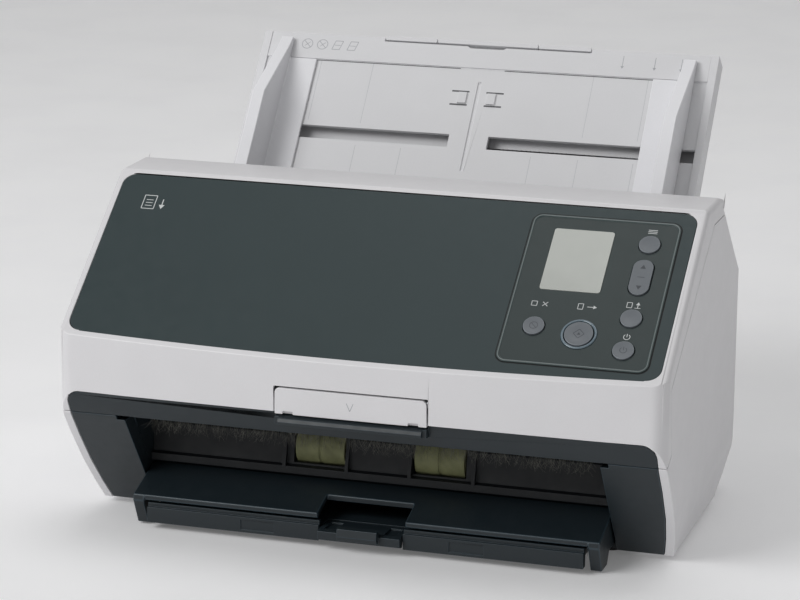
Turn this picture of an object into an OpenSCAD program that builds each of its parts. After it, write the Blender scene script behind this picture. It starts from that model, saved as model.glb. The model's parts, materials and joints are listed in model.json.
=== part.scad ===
// Sheet fed document scanner: a desk machine with a hinged reader unit, a sloping
// paper chute with side guides, and a sliding stacker under the exit.
// Millimetres. X runs to the right, Y to the back, Z up. Z = 0 is the desk.

/* [Body] */
// Outside width of the body
body_width = 300; // [250:1:360]
// Depth of the body from the corners of the front panel to the back wall
body_depth = 168; // [150:1:178]
// Height of the front edge of the sloping panel above the desk
band_top = 98.8; // [85:0.1:120]
// Length of the sloping panel from its front edge to the ridge
panel_length = 102.8; // [99:0.1:112]
// Tilt of the sloping panel
panel_angle = 37.6; // [25:0.1:48]
// Wall thickness of the moulded covers
wall = 2.5; // [1.5:0.1:4]
// Radius of the upright corners of the body
corner_radius = 8; // [4:0.5:14]
// How far the middle of the front stands forward of its corners
front_bow = 3; // [0.5:0.1:6]
// Height of the lower edge of the white band
band_bottom = 71; // [64:0.5:78]
// Height of the seam under the chin
chin_bottom = 57.5; // [50:0.5:62]
// Height of the floor above the desk, the feet fill it
floor_height = 3; // [2:0.5:8]
// Radius of the long edges between the top faces and the sides
edge_radius = 3; // [2:0.5:4]
// Radius of the upper corners of the dark band under the white one
chin_corner = 7; // [3:0.5:9]
// How much narrower each side is at the floor
side_taper = 5; // [1:0.5:10]
// Width of each side box, where the drive and the hinge pins sit
side_box = 24; // [18:0.5:30]
// Height of the lower edge of the back wall
back_bottom = 26; // [12:1:40]

/* [Hinged reader unit] */
// Radius of the hinge pin
hinge_pin_radius = 3; // [2:0.1:5]
// Running clearance of pins and shafts in their bores
shaft_clearance = 0.06; // [0.02:0.01:0.1]
// Clear gap between the reader unit and the body
seam_gap = 0.5; // [0.3:0.1:1]
// Width of the white rim beside the sloping panel
rim_width = 4.2; // [3:0.1:8]
// Width of the white lip in front of the sloping panel
panel_lip = 2.4; // [1:0.1:3.5]
// Radius of the lower corners of the sloping panel
panel_corner = 7; // [3:0.5:9]
// Thickness of the sloping panel
panel_thickness = 2.6; // [1.5:0.1:4]

/* [Operator panel] */
// Width of the operator bezel
bezel_width = 72.2; // [60:0.1:90]
// Length of the operator bezel up the slope
bezel_length = 88.7; // [75:0.1:96]
// Distance of the bezel from the right edge of the sloping panel
bezel_edge = 6.6; // [4:0.1:12]
// Distance of the bezel from the front edge of the sloping panel
bezel_foot = 7.1; // [4:0.1:12]
// Diameter of the four small buttons
button_diameter = 10.2; // [7:0.1:13]
// Diameter of the large scan button
scan_diameter = 13.6; // [10:0.1:15]
// Free play around each button in its hole
button_gap = 0.35; // [0.3:0.05:0.8]
// How far a button is pressed
button_travel = 1.0; // [0.6:0.1:1.6]
// Width of the display window
lcd_width = 29.3; // [24:0.1:34]
// Length of the display window up the slope
lcd_length = 36.9; // [30:0.1:42]

/* [Release tab] */
// Width of the release tab
tab_width = 74.8; // [40:0.1:100]
// Height of the release tab
tab_height = 12.7; // [9:0.1:16]

/* [Paper chute] */
// Slope of the chute and of the paper path
chute_angle = 50.3; // [40:0.1:62]
// Length of the chute along its slope
chute_length = 112; // [90:1:150]
// Gap between the rails of the chute and the side boxes
chute_margin = 2; // [1.5:0.5:12]
// Thickness of the chute behind its face
chute_depth = 11; // [9:0.5:16]
// Width of the outer chute extension
extension_width = 112; // [80:1:140]
// Travel of the outer chute extension, the inner one moves 0.6 of it
extension_travel = 30; // [20:1:36]
// Height of the side guides above the chute face
guide_height = 25; // [15:1:30]
// Thickness of the side guide walls
guide_thickness = 6.5; // [3:0.1:9]
// Inner width between the side guides when fully open
paper_width = 213; // [150:1:214]
// Inward travel of each side guide
guide_travel = 68; // [20:1:72]

/* [Paper path] */
// Radius of the pick roller
pick_radius = 12; // [9:0.1:14]
// Radius of the feed rollers
feed_radius = 9; // [7:0.1:11]
// Radius of the exit rollers
exit_radius = 9.5; // [8:0.1:10.5]
// Radius of the brake roller
brake_radius = 9; // [7:0.1:11]
// Radius of the small pressure rollers
idler_radius = 6; // [4:0.1:8]
// Radius of the roller shafts
shaft_radius = 3; // [2:0.1:4]
// Gap between the two halves of the paper path
path_gap = 1.5; // [1:0.1:3]
// Width of each exit roller
exit_roller_width = 25; // [15:0.5:35]
// Distance of each exit roller from the middle
exit_roller_offset = 30.3; // [22:0.1:40]
// Height of the exit roller axis
exit_height = 39; // [36:0.5:42]

/* [Drive] */
// Size of the gear teeth
gear_module = 1.25; // [1:0.05:1.6]
// Teeth on the motor pinion
pinion_teeth = 12; // [10:1:16]
// Teeth on the large drive gear
gear_teeth = 38; // [30:1:42]
// Radius of the belt pulleys
pulley_radius = 8; // [6:0.1:10]

/* [Stacker] */
// Gap between the sides of the mouth and the side boxes
mouth_margin = 8; // [7:0.5:20]
// Travel of the stacker tray
tray_travel = 60; // [40:1:64]
// Travel of the stacker extension in the tray
stack_travel = 55; // [30:1:60]
// Half width of the finger cut in the tray
tray_cut_half = 22; // [15:0.5:30]

/* [Choice] */
// Which piece to draw

/* [Hidden] */
$fn = 48;
eps = 0.01;
half = body_width / 2;
y_front = -85;
y_back = y_front + body_depth + 2;
bow_radius = half * half / (2 * front_bow) + front_bow / 2;
bow_front = y_front + 1.9 - front_bow;
panel_y = y_front + 1.9;
panel_top_y = panel_y + panel_length * cos(panel_angle);
panel_top_z = band_top + panel_length * sin(panel_angle);
ridge_z = panel_top_z + 1.5;
ridge_back = panel_top_y + 33.6;
hinge_y = panel_top_y + 43.2;
hinge_z = panel_top_z - 17.1;
seam_z = panel_top_z - 8.8;
slope_y = panel_top_y + 41.6;
slope_z = ridge_z - 8.3;
shoulder_z = max(slope_z - 0.927 * (y_back - slope_y), back_bottom + 30);
lower_y = y_back - 28;
profile = [
  [-38, floor_height], [-77, chin_bottom - 0.5], [-84.2, band_bottom], [-90, band_bottom + 1],
  [-90, band_top - 6 * tan(panel_angle)], [panel_top_y, panel_top_z],
  [panel_top_y + 2.6, ridge_z], [ridge_back - 3, ridge_z], [ridge_back + 2, ridge_z - 1.6],
  [slope_y, slope_z], [y_back, shoulder_z], [y_back, back_bottom], [lower_y, floor_height + 2],
  [lower_y, floor_height]
];
left_view = [
  [-half + 1.46 * side_taper, -12], [-half + side_taper, 0], [-half + side_taper / 2, 13],
  [-half + 0.14 * side_taper, 27], [-half, 44], [-half, ridge_z + 20]
];
front_view = concat(left_view, [for (i = [len(left_view) - 1:-1:0]) [-left_view[i].x, left_view[i].y]]);
bow_step = (half + 2) / 8;
function bow_at(k) = bow_front + pow(k * bow_step, 2) / (2 * bow_radius);
corner_k = floor((half - corner_radius) / bow_step);
corner_front = bow_at(corner_k) + (bow_at(corner_k + 1) - bow_at(corner_k))
  * ((half - corner_radius) / bow_step - corner_k);
seam_line = [
  [slope_y + 20, seam_z], [panel_top_y + 15.6, seam_z + 0.3], [-73, band_top - 3.3],
  [-69, chin_bottom + 5.5], [-80, chin_bottom + 0.3], [-100, chin_bottom - 9]
];
box_inner = half - side_box;
plate_outer = box_inner + 2.5;
reader_half = box_inner;
panel_half = half - rim_width;
mouth_half = box_inner - mouth_margin;
port_shift = box_inner - 126;
board_x0 = -box_inner + 46;
screw_rows = [34, min(96, shoulder_z - 14)];
vent_low = min(60, shoulder_z - 45);

// paper path: origin at the chute mouth, u along the path (down), v towards the reader unit
mouth_y = panel_top_y + 73.6;
mouth_z = panel_top_z - 36.5;
path_cos = cos(chute_angle);
path_sin = sin(chute_angle);
function path(u, v) = [mouth_y - path_cos * u - path_sin * v, mouth_z - path_sin * u + path_cos * v];
exit_y = -32;
path_end_z = exit_height + exit_radius - 1;
bend_y = 16;
path_length = (mouth_y - bend_y) / path_cos;
bend = path(path_length, 0);
pick_u = path_length * 0.37;
feed_u = path_length * 0.66;
glass_u = path_length * 0.87;
pick_axis = path(pick_u, 1 - pick_radius);
feed_axis = path(feed_u, 0.6 - feed_radius);
brake_axis = path(pick_u, 1.35 + brake_radius);
idler_axis = path(feed_u, 0.95 + idler_radius);
exit_axis = [exit_y, exit_height];
exit_idler_axis = [exit_y, path_end_z + 1.35 + idler_radius];
motor_angle = -48;
gear_distance = gear_module * (pinion_teeth + gear_teeth) / 2 + 0.25;
motor_axis = [feed_axis.x + gear_distance * cos(motor_angle),
  feed_axis.y + gear_distance * sin(motor_angle)];

rail_half = box_inner - chute_margin;
face_half = rail_half - 4.2;
guide_inner = min(paper_width / 2, rail_half - 17.5);
slot_low = 49.6;
slot_high = 57;
pinion_s = 58.2;
rack_pitch = 2.4;
recess_top = chute_length - 15.3;
bezel_x1 = panel_half - bezel_edge;
bezel_x0 = bezel_x1 - bezel_width;
bezel_s0 = bezel_foot;
bezel_s1 = min(bezel_foot + bezel_length, panel_length - 7);
right_column = bezel_x1 - 13.4;
tab_z0 = band_bottom - 0.6;
tab_pivot = [bow_front + 2.9, tab_z0 + tab_height - 1.9];
tray_top_front = 17;
tray_top = 25.6;
ledge_z = 30.5;
ledge_low = 26.4;
stop_axis = [-58.6, 8.5];
lip_front = bow_front - 2.5;
rear_reach = mouth_y + chute_length * path_cos + chute_depth * path_sin;
y_shift = -(lip_front + rear_reach) / 2;

// ---- helpers ----
module along_x(x0, x1) {
  translate([x0, 0, 0]) rotate([90, 0, 90]) linear_extrude(x1 - x0) children();
}
module box(x0, x1, y0, y1, z0, z1) {
  translate([x0, y0, z0]) cube([x1 - x0, y1 - y0, z1 - z0]);
}
module rod(x0, x1, centre, r) {
  translate([x0, centre.x, centre.y]) rotate([0, 90, 0]) cylinder(r = r, h = x1 - x0);
}
module both() {
  children();
  mirror([1, 0, 0]) children();
}
function unit(v) = v / norm(v);
function inset_corner(p, a, b, t) = let(
    d1 = unit(p - a), d2 = unit(b - p),
    n1 = [d1.y, -d1.x], n2 = [d2.y, -d2.x]
  ) p + t * (n1 + n2) / (1 + n1 * n2);
function inset(pts, t) = let(n = len(pts)) [
  for (i = [0:n - 1]) inset_corner(pts[i], pts[(i + n - 1) % n], pts[(i + 1) % n], t)
];
module rounded(x0, x1, y0, y1, r) {
  union() {
    translate([x0 + r, y0]) square([x1 - x0 - 2 * r, y1 - y0]);
    translate([x0, y0 + r]) square([x1 - x0, y1 - y0 - 2 * r]);
    for (x = [x0 + r, x1 - r]) {
      for (y = [y0 + r, y1 - r]) {
        translate([x, y]) circle(r = r);
      }
    }
  }
}
// everything behind the bowed front, moved back by t
module bow(t) {
  reach = half + 2;
  linear_extrude(ridge_z + 20) polygon(concat(
    [for (i = [-8:8]) [i * reach / 8, bow_front + t + pow(i * reach / 8, 2) / (2 * bow_radius)]],
    [[reach, y_back + 1], [-reach, y_back + 1]]
  ));
}
// what a rounded edge takes off along y, for a face at height 0 in front of which x reaches half
module edge_cut(y0, y1, t) {
  both() difference() {
    box(half - edge_radius, half + 1, y0, y1, -edge_radius, 12);
    translate([half - edge_radius, y0 - 1, -edge_radius]) rotate([-90, 0, 0])
      cylinder(r = edge_radius - t, h = y1 - y0 + 2);
  }
}
// the rounded long edges of the panel face, the ridge and the rear slope
module edge_cuts(t) {
  translate([0, panel_y, band_top]) rotate([panel_angle, 0, 0]) edge_cut(-12, panel_length + 6, t);
  translate([0, panel_top_y, ridge_z]) edge_cut(-4, 40, t);
  translate([0, slope_y, slope_z]) rotate([atan2(shoulder_z - slope_z, y_back - slope_y), 0, 0])
    edge_cut(-6, 70, t);
}
// the front view of the body as a prism, moved in by t
module front_prism(t) {
  rotate([90, 0, 0]) translate([0, 0, -y_back - 5]) linear_extrude(y_back + 120)
    polygon(inset(front_view, t));
}
// the outer form of the body, moved in by t on every face
module form(t) {
  difference() {
    sharp_form(t);
    if (t < 1) edge_cuts(t);
  }
}
module sharp_form(t) {
  intersection() {
    along_x(-half - 1, half + 1) polygon(inset(profile, t));
    front_prism(t);
    linear_extrude(ridge_z + 20) rounded(-half + t, half - t, -110, y_back - t,
      corner_radius - min(t, 6));
    bow(t);
    difference() {
      box(-half, half, -110, y_back + 1, 0, ridge_z + 20);
      both() {
        difference() {
          box(half - corner_radius, half + 1, -111, corner_front + corner_radius, -1, ridge_z + 21);
          translate([half - corner_radius, corner_front + corner_radius, -1])
            cylinder(r = corner_radius - min(t, 6), h = ridge_z + 22);
        }
      }
    }
  }
}
module shell() {
  difference() {
    form(0);
    form(wall);
  }
}
function seam_up(t) = concat([[100, 200], [100, seam_line[0].y + t]],
  [for (p = seam_line) [p.x - (p.y < band_top + 2 && p.y > chin_bottom + 1 ? t : 0), p.y + t]],
    [[-110, 200]]);
function seam_down(t) = concat([[-100, 0], [-100, chin_bottom - 9 - t]],
  [for (i = [len(seam_line) - 1:-1:0])
    let(p = seam_line[i]) [p.x + (p.y < band_top + 2 && p.y > chin_bottom + 1 ? t : 0), p.y - t]],
  [[100, seam_line[0].y - t], [100, 0]]);
module on_panel() {
  translate([0, panel_y, band_top]) rotate([panel_angle, 0, 0]) children();
}
module slab(x0, x1, s0, s1, n0, n1, r) {
  translate([0, 0, n0]) linear_extrude(n1 - n0) rounded(x0, x1, s0, s1, r);
}
module on_chute() {
  translate([0, mouth_y, mouth_z]) rotate([chute_angle, 0, 0]) children();
}
module gear(teeth, x0, x1, centre, turn) {
  rp = gear_module * teeth / 2;
  step = 360 / teeth;
  translate([x0, centre.x, centre.y]) rotate([90, 0, 90]) linear_extrude(x1 - x0) rotate(turn) polygon([
    for (i = [0:teeth - 1]) for (k = [0:3])
      let(r = k == 0 || k == 3 ? rp - 1.1 * gear_module : rp + 0.75 * gear_module,
          w = k == 0 ? -0.3 : k == 1 ? -0.11 : k == 2 ? 0.11 : 0.3)
      [r * cos((i + w) * step), r * sin((i + w) * step)]
  ]);
}
module stadium(a, b, r) {
  len_ab = norm(b - a);
  turn = atan2(b.y - a.y, b.x - a.x);
  translate(a) rotate(turn) union() {
    circle(r = r);
    translate([len_ab, 0]) circle(r = r);
    translate([0, -r]) square([len_ab, 2 * r]);
  }
}

// every piece is drawn in body positions and then moved so that the whole stands centred
module place() {
  translate([0, y_shift, 0]) children();
}

// ---- body, fixed ----
module base_tray() {
  place() color("#20252a") difference() {
    union() {
      box(-box_inner, box_inner, -34.2, lower_y, floor_height, floor_height + wall);
      both() box(mouth_half + 2.6, mouth_half + 5, -34, lower_y, floor_height + wall, ledge_low);
      for (x = [-90:45:90]) box(x - 1, x + 1, 46, lower_y, floor_height + wall, 20);
      box(-box_inner, box_inner, 46, 48, floor_height + wall, 20);
    }
    for (x = [-60:20:60]) box(x, x + 10, 30, 42, floor_height - 1, floor_height + wall + 1);
  }
}
module side_cover() {
  difference() {
    intersection() {
      shell();
      along_x(box_inner + eps, half + 1) polygon(seam_down(seam_gap / 2));
    }
    intersection() {
      along_x(box_inner - 1, panel_half) polygon([[-34, -5], [-34, 12], [-70, chin_bottom + 4],
        [-100, chin_bottom + 4], [-100, -5]]);
      front_prism(rim_width);
    }
  }
}
module side_ribs() {
  intersection() {
    form(wall);
    along_x(half - 9, half - 6) polygon(seam_down(1.2));
    union() {
      box(0, half, -60, -57.8, 0, 200);
      box(0, half, 22, 24.2, 0, 40);
    }
  }
}
module right_side_cover() {
  place() color("#d6d5d8") side_cover();
}
module left_side_cover() {
  place() color("#d6d5d8") difference() {
    mirror([1, 0, 0]) side_cover();
    for (z = [20:6:50]) box(-half - 2, -half + wall + 2, 40, 70, z, z + 2.4);
  }
}
module rear_cover() {
  place() color("#cfced2") difference() {
    intersection() {
      shell();
      box(-box_inner, box_inner, lower_y, y_back + 1, floor_height - 1, shoulder_z - 1.5);
    }
    for (x = [-80:5:-30]) box(x, x + 2.4, y_back - wall - 1, y_back + 1, vent_low, vent_low + 30);
    translate([port_shift, 0, 0]) {
      box(56.5, 67.5, y_back - wall - 1, y_back + 1, 37.5, 48.5);
      box(76.5, 93.5, y_back - wall - 1, y_back + 1, 36.5, 51);
      box(100.5, 114.5, y_back - wall - 1, y_back + 1, 36.5, 48);
    }
    translate([-port_shift, 0, 0]) box(-107, -100, y_back - wall - 1, y_back + 1, 40, 43);
    for (x = [-118, 118]) for (z = screw_rows) translate([x * box_inner / 126, y_back - 1.2, z])
      rotate([-90, 0, 0]) cylinder(r = 2.8, h = 3);
  }
}
module wing() {
  intersection() {
    form(0.2);
    front_prism(rim_width + 0.3);
    difference() {
      along_x(mouth_half, panel_half - 0.3)
        polygon([[-34.5, 0], [-34.5, 11.8], [-69, chin_bottom + 3.6], [-69.6, chin_bottom + 4.7],
          [-81, chin_bottom - 0.6], [-81, 0]]);
      intersection() {
        along_x(mouth_half + wall, panel_half - 0.3 - wall)
          polygon([[-33, floor_height + wall + 0.4], [-33, 13], [-69, chin_bottom + 1],
            [-72.4, chin_bottom - 2.6], [-36.9, floor_height + wall + 0.4]]);
        front_prism(rim_width + 0.3 + wall);
      }
      rod(mouth_half + 4, mouth_half + 12, [-62, 42], 2.2);
    }
  }
}
module front_wings() {
  place() color("#2a3237") difference() {
    union() {
      both() wing();
      both() along_x(mouth_half, mouth_half + wall)
        polygon([[-34, floor_height + wall], [-30, floor_height + wall], [-30, 44], [-48, 49.8],
          [-60.6, 54.9], [-67, chin_bottom + 3], [-36.6, floor_height + wall]]);
    }
    both() box(mouth_half - 1, mouth_half + 4, -80, -66.5, chin_bottom - 1.2, chin_bottom + 9);
    rod(-half, half, exit_axis, shaft_radius + 0.6);
  }
}
module frame_plate() {
  difference() {
    intersection() {
      form(wall + 0.05);
      along_x(box_inner + 0.5, plate_outer) polygon(seam_down(3));
      box(0, half, -56, y_back, floor_height + wall, ridge_z);
    }
    rod(0, half, pick_axis, shaft_radius + shaft_clearance);
    rod(0, half, feed_axis, shaft_radius + shaft_clearance);
    rod(0, half, exit_axis, shaft_radius + shaft_clearance);
    rod(0, half, [hinge_y, hinge_z], hinge_pin_radius);
    along_x(0, half) polygon([[-60, 0], [-60, 70], [-46, 60], [-38, 20], [-30, 0]]);
    box(0, half, -20, 10, 84, 100);
  }
}
module right_frame_plate() {
  place() color("#b9bdc0") frame_plate();
}
module left_frame_plate() {
  place() color("#b9bdc0") difference() {
    mirror([1, 0, 0]) frame_plate();
    rod(-half, 0, motor_axis, 9);
  }
}
module lower_guide() {
  a = path(0, 0);
  b = path(0, -2.5);
  place() color("#2b3034") difference() {
    along_x(-mouth_half + 0.5, mouth_half - 0.5) polygon([
      a, bend, [-2, path_end_z], [-33, path_end_z], [-33, path_end_z - 2.5], [-2.6, path_end_z - 2.5],
      [bend.x + 1.6, bend.y - 2], b
    ]);
    for (x = [-17, 17]) pick_window(x);
    for (x = [-60, -20, 20, 60]) feed_window(x);
    along_x(-mouth_half + 6, mouth_half - 6) polygon([path(glass_u - 7.3, 1), path(glass_u + 7.3, 1),
      path(glass_u + 7.3, -4), path(glass_u - 7.3, -4)]);
    both() along_x(exit_roller_offset - exit_roller_width / 2 - 1,
      exit_roller_offset + exit_roller_width / 2 + 1)
      polygon([[exit_y + exit_radius + 0.8, path_end_z + 1], [-40, path_end_z + 1],
        [-40, path_end_z - 4], [exit_y + exit_radius + 0.8, path_end_z - 4]]);
  }
}
module pick_window(x) {
  along_x(x - 13.5, x + 13.5) polygon([path(pick_u - 7.5, 1), path(pick_u + 7.5, 1),
    path(pick_u + 9.5, -4), path(pick_u - 9.5, -4)]);
}
module feed_window(x) {
  along_x(x - 8.5, x + 8.5) polygon([path(feed_u - 6.2, 1), path(feed_u + 6.2, 1),
    path(feed_u + 7.4, -4), path(feed_u - 7.4, -4)]);
}
module exit_guide() {
  place() color("#2a3136") difference() {
    union() {
      along_x(-mouth_half + 0.3, mouth_half - 0.3) polygon([
        [-33, path_end_z], [-37.8, path_end_z - 0.4], [-39.4, path_end_z - 2.2], [-41.4, ledge_z + 0.6],
          [-44, ledge_z],
        [-44, ledge_low + 0.6], [-43.4, ledge_low], [-36, ledge_low], [-36, path_end_z - 5],
          [-33, path_end_z - 2.5]
      ]);
      for (x = [-48, -16, 16, 48]) along_x(x - 0.9, x + 0.9)
        polygon([[-37, path_end_z - 0.2], [-39.2, path_end_z + 0.2], [-44.3, ledge_z + 2],
        [-44.3, ledge_z - 0.5], [-38, ledge_z]]);
      both() box(mouth_half - 3, mouth_half - 0.3, -36, -10, ledge_low, path_end_z - 3);
    }
    both() box(exit_roller_offset - exit_roller_width / 2 - 1,
      exit_roller_offset + exit_roller_width / 2 + 1, -46, -30, exit_height - 7, path_end_z + 2);
    both() rod(exit_roller_offset - exit_roller_width / 2 - 1,
      exit_roller_offset + exit_roller_width / 2 + 1,
      exit_axis, exit_radius + 0.6);
    rod(-mouth_half - 1, mouth_half + 1, exit_axis, shaft_radius + 0.6);
  }
}
module lower_glass() {
  place() color("#9fb2b0") along_x(-mouth_half + 6.3, mouth_half - 6.3)
    polygon([path(glass_u - 7, -0.1), path(glass_u + 7, -0.1), path(glass_u + 7, -2.1),
      path(glass_u - 7, -2.1)]);
}
module lower_sensor() {
  place() color("#3b3f42") difference() {
    along_x(-mouth_half + 8, mouth_half - 8)
      polygon([path(glass_u - 8, -2.6), path(glass_u + 8, -2.6), path(glass_u + 8, -20),
        path(glass_u - 8, -20)]);
    along_x(-mouth_half + 12, mouth_half - 12)
      polygon([path(glass_u - 2, -1), path(glass_u + 2, -1), path(glass_u + 2, -8),
        path(glass_u - 2, -8)]);
  }
}
module main_board() {
  place() color("#2f6b4a") union() {
    box(board_x0, box_inner - 8, y_back - 8.6, y_back - 7, 30, 80);
    box(-50, -20, y_back - 10.6, y_back - 8.6, 40, 66);
    box(0, 24, y_back - 11, y_back - 8.6, 44, 60);
    for (x = [board_x0 + 10, board_x0 + 20, 34, 44]) translate([x, y_back - 8.6, 70]) rotate([90, 0, 0])
      cylinder(r = 3.6, h = 5);
    for (x = [board_x0 + 5, 40]) for (z = [34, 76]) translate([x, y_back - 7, z]) rotate([-90, 0, 0])
      cylinder(r = 3, h = 7 - wall);
  }
}
module power_inlet() {
  place() color("#1c1f22") translate([port_shift, 0, 0]) difference() {
    box(57, 67, y_back - 7, y_back, 38, 48);
    translate([62, y_back + 1, 43]) rotate([90, 0, 0]) cylinder(r = 3.2, h = 6.5);
    translate([62, y_back + 1, 43]) rotate([90, 0, 0]) cylinder(r = 4.2, h = 1.6);
  }
}
module data_port() {
  place() color("#8d9298") translate([port_shift, 0, 0]) difference() {
    box(101, 114, y_back - 7, y_back, 37, 47.5);
    difference() {
      box(102.2, 112.8, y_back - 6, y_back + 1, 38.2, 46.3);
      box(104.6, 110.4, y_back - 8, y_back + 2, 40.9, 43.6);
    }
  }
}
module network_port() {
  place() color("#9aa0a4") translate([port_shift, 0, 0]) difference() {
    box(77, 93, y_back - 7, y_back, 37, 50.5);
    box(79, 91, y_back - 6, y_back + 1, 38.5, 46.5);
    box(82, 88, y_back - 6, y_back + 1, 46, 48.8);
  }
}
module lock_slot_plate() {
  place() color("#8d9298") translate([-port_shift, 0, 0]) difference() {
    box(-109, -98, y_back - wall - 1.5, y_back - wall, 37, 46);
    box(-107, -100, y_back - wall - 3, y_back, 40, 43);
  }
}
module feed_motor() {
  place() color("#5b6064") union() {
    rod(-box_inner + 2, -box_inner + 40, motor_axis, 15);
    rod(-box_inner + 0.6, -box_inner + 2, motor_axis, 8);
    rod(-plate_outer - 12, -box_inner + 0.6, motor_axis, 1.5);
    rod(-box_inner + 40, -box_inner + 43, motor_axis, 5);
  }
}
module motor_pinion() {
  place() color("#e3ded0") difference() {
    gear(pinion_teeth, -plate_outer - 11, -plate_outer - 6.5, motor_axis,
      motor_angle + 180 + 180 / pinion_teeth);
    rod(-half, 0, motor_axis, 1.5 + shaft_clearance);
  }
}
module belt(a, b, x0) {
  along_x(x0, x0 + 4) difference() {
    stadium(a, b, pulley_radius + 1.7);
    stadium(a, b, pulley_radius + 0.4);
  }
}
module feed_belt() {
  place() color("#1a1a1c") belt(feed_axis, exit_axis, -plate_outer - 16);
}
module pick_belt() {
  place() color("#1a1a1c") belt(feed_axis, pick_axis, -plate_outer - 5);
}
module pick_roller() {
  place() color("#5e6b3f") union() {
    rod(-plate_outer - 6, plate_outer + 3, pick_axis, shaft_radius);
    for (x = [-17, 17]) rod(x - 12.5, x + 12.5, pick_axis, pick_radius);
    rod(-plate_outer - 4.8, -plate_outer - 1.2, pick_axis, pulley_radius);
  }
}
module feed_roller() {
  place() color("#4d5358") union() {
    rod(-plate_outer - 17, plate_outer + 3, feed_axis, shaft_radius);
    for (x = [-60, -20, 20, 60]) rod(x - 7.5, x + 7.5, feed_axis, feed_radius);
    rod(-plate_outer - 4.8, -plate_outer - 1.2, feed_axis, pulley_radius);
    gear(gear_teeth, -plate_outer - 11, -plate_outer - 6.5, feed_axis, motor_angle);
    rod(-plate_outer - 15.8, -plate_outer - 12.2, feed_axis, pulley_radius);
  }
}
module exit_roller() {
  place() color("#73765a") union() {
    rod(-plate_outer - 17, plate_outer + 3, exit_axis, shaft_radius);
    both() difference() {
      rod(exit_roller_offset - exit_roller_width / 2, exit_roller_offset + exit_roller_width / 2,
        exit_axis, exit_radius);
      rod(exit_roller_offset - 0.6, exit_roller_offset + 0.6, [exit_axis.x, exit_axis.y],
        exit_radius + 1);
    }
    both() rod(exit_roller_offset - 1, exit_roller_offset + 1, exit_axis, exit_radius - 0.5);
    rod(-plate_outer - 15.8, -plate_outer - 12.2, exit_axis, pulley_radius);
  }
}
module hinge_pins() {
  place() color("#b4b8bb") both() union() {
    rod(box_inner - 5, plate_outer, [hinge_y, hinge_z], hinge_pin_radius);
    rod(plate_outer, plate_outer + 1.5, [hinge_y, hinge_z], hinge_pin_radius + 0.8);
  }
}
module rubber_feet() {
  place() color("#26282a") for (x = [-112, 112]) for (y = [-24, lower_y - 10]) {
    translate([x * (box_inner / 126), y, 0]) cylinder(r = 7, h = floor_height);
  }
}

// ---- chute ----
module chute_plate() {
  place() color("#d1d1d3") difference() {
    union() {
      on_chute() difference() {
        box(-face_half, face_half, 0, chute_length, -3, 0);
        box(-face_half - 1, face_half + 1, -1, recess_top, -0.8, 1);
        both() box(10.6, face_half + 1, slot_low, slot_high, -4, 1);
        translate([0, 0, -1.6]) linear_extrude(3)
          rounded(-11, 11, chute_length - 3.6, chute_length + 6, 3);
        translate([-0.9, 36, -1.6]) cube([1.8, recess_top - 44, 2]);
      }
      on_chute() for (x = [-7.8, 7.8]) box(x - 2.4, x + 2.4, 75.5, 82, -0.8, 0.3);
    }
    on_chute() box(-extension_width / 2 - 0.5, extension_width / 2 + 0.5, chute_length - 2.4,
      chute_length + 1, -4, 1);
  }
}
module chute_frame() {
  place() color("#cdcdd0") on_chute() difference() {
    union() {
      both() box(face_half + 0.02, rail_half, 2, chute_length, -chute_depth, 0.4);
      box(-face_half - 0.02, face_half + 0.02, 2, chute_length - 3, -chute_depth, -chute_depth + 2);
      both() box(extension_width / 2 + 1.2, extension_width / 2 + 3.2, 68, chute_length - 3,
        -chute_depth + 2, -3);
      translate([0, pinion_s, -chute_depth + 1]) cylinder(r = 1.2, h = chute_depth - 5.6);
      box(-face_half, face_half, 2, 5, -chute_depth + 2, -3);
      both() box(extension_width / 2 + 0.5, face_half + 0.02, chute_length - 3, chute_length,
        -chute_depth, -3);
      both() box(rail_half - 14, rail_half, -9, 2, -chute_depth, -3);
      both() box(rail_half - 0.02, box_inner, -7, 1, -chute_depth, -3);
    }
    for (s = [18:8:42]) both() box(30, 90, s, s + 3, -chute_depth - 1, -chute_depth + 3);
  }
}
module chute_extension_outer() {
  w = extension_width / 2;
  place() color("#c9c9cc") on_chute() difference() {
    union() {
      box(-w, w, chute_length - 14.5 - extension_travel, chute_length - 1.5, -6.2, -3.5);
      box(-w, w, chute_length - 1.5, chute_length + 1, -8.6, 0);
    }
    box(-27.8, 27.8, chute_length - 1.9, chute_length + 2, -9, 1);
    box(-26.8, 26.8, chute_length - 12 - 0.6 * extension_travel, chute_length + 2, -5, -3);
  }
}
module chute_extension_inner() {
  place() color("#c9c9cc") on_chute() union() {
    box(-26.4, 26.4, chute_length - 11.6 - 0.6 * extension_travel, chute_length - 1.4, -4.7, -3.4);
    box(-27.3, 27.3, chute_length - 1.4, chute_length + 1, -8.6, 0);
  }
}
module guide() {
  on_chute() union() {
    translate([guide_inner, 0, 0]) rotate([90, 0, 90]) linear_extrude(guide_thickness)
      polygon([[3, -0.4], [3, guide_height - 2], [18, guide_height], [62, guide_height], [100, 6],
        [chute_length - 4.6, 3.2], [chute_length - 4, 0.5], [recess_top, 0.5],
        [recess_top - 0.4, -0.4]]);
    box(guide_inner - 15, guide_inner, 3, recess_top - 0.6, -0.4, 1);
    box(guide_inner - 10, guide_inner + 4, slot_low + 0.7, slot_high - 0.7, -3.3, -0.4);
  }
}
module rack(x0, x1, s0, s1, tooth_s0, tooth_s1) {
  first = ceil((x0 + 1.2) / rack_pitch);
  last = floor((x1 - 12) / rack_pitch);
  difference() {
    box(x0, x1, s0, s1, -8.6, -6.9);
    for (k = [first:last]) box(k * rack_pitch - 0.78, k * rack_pitch + 0.78, tooth_s0, tooth_s1, -9,
      -6);
  }
}
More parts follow.
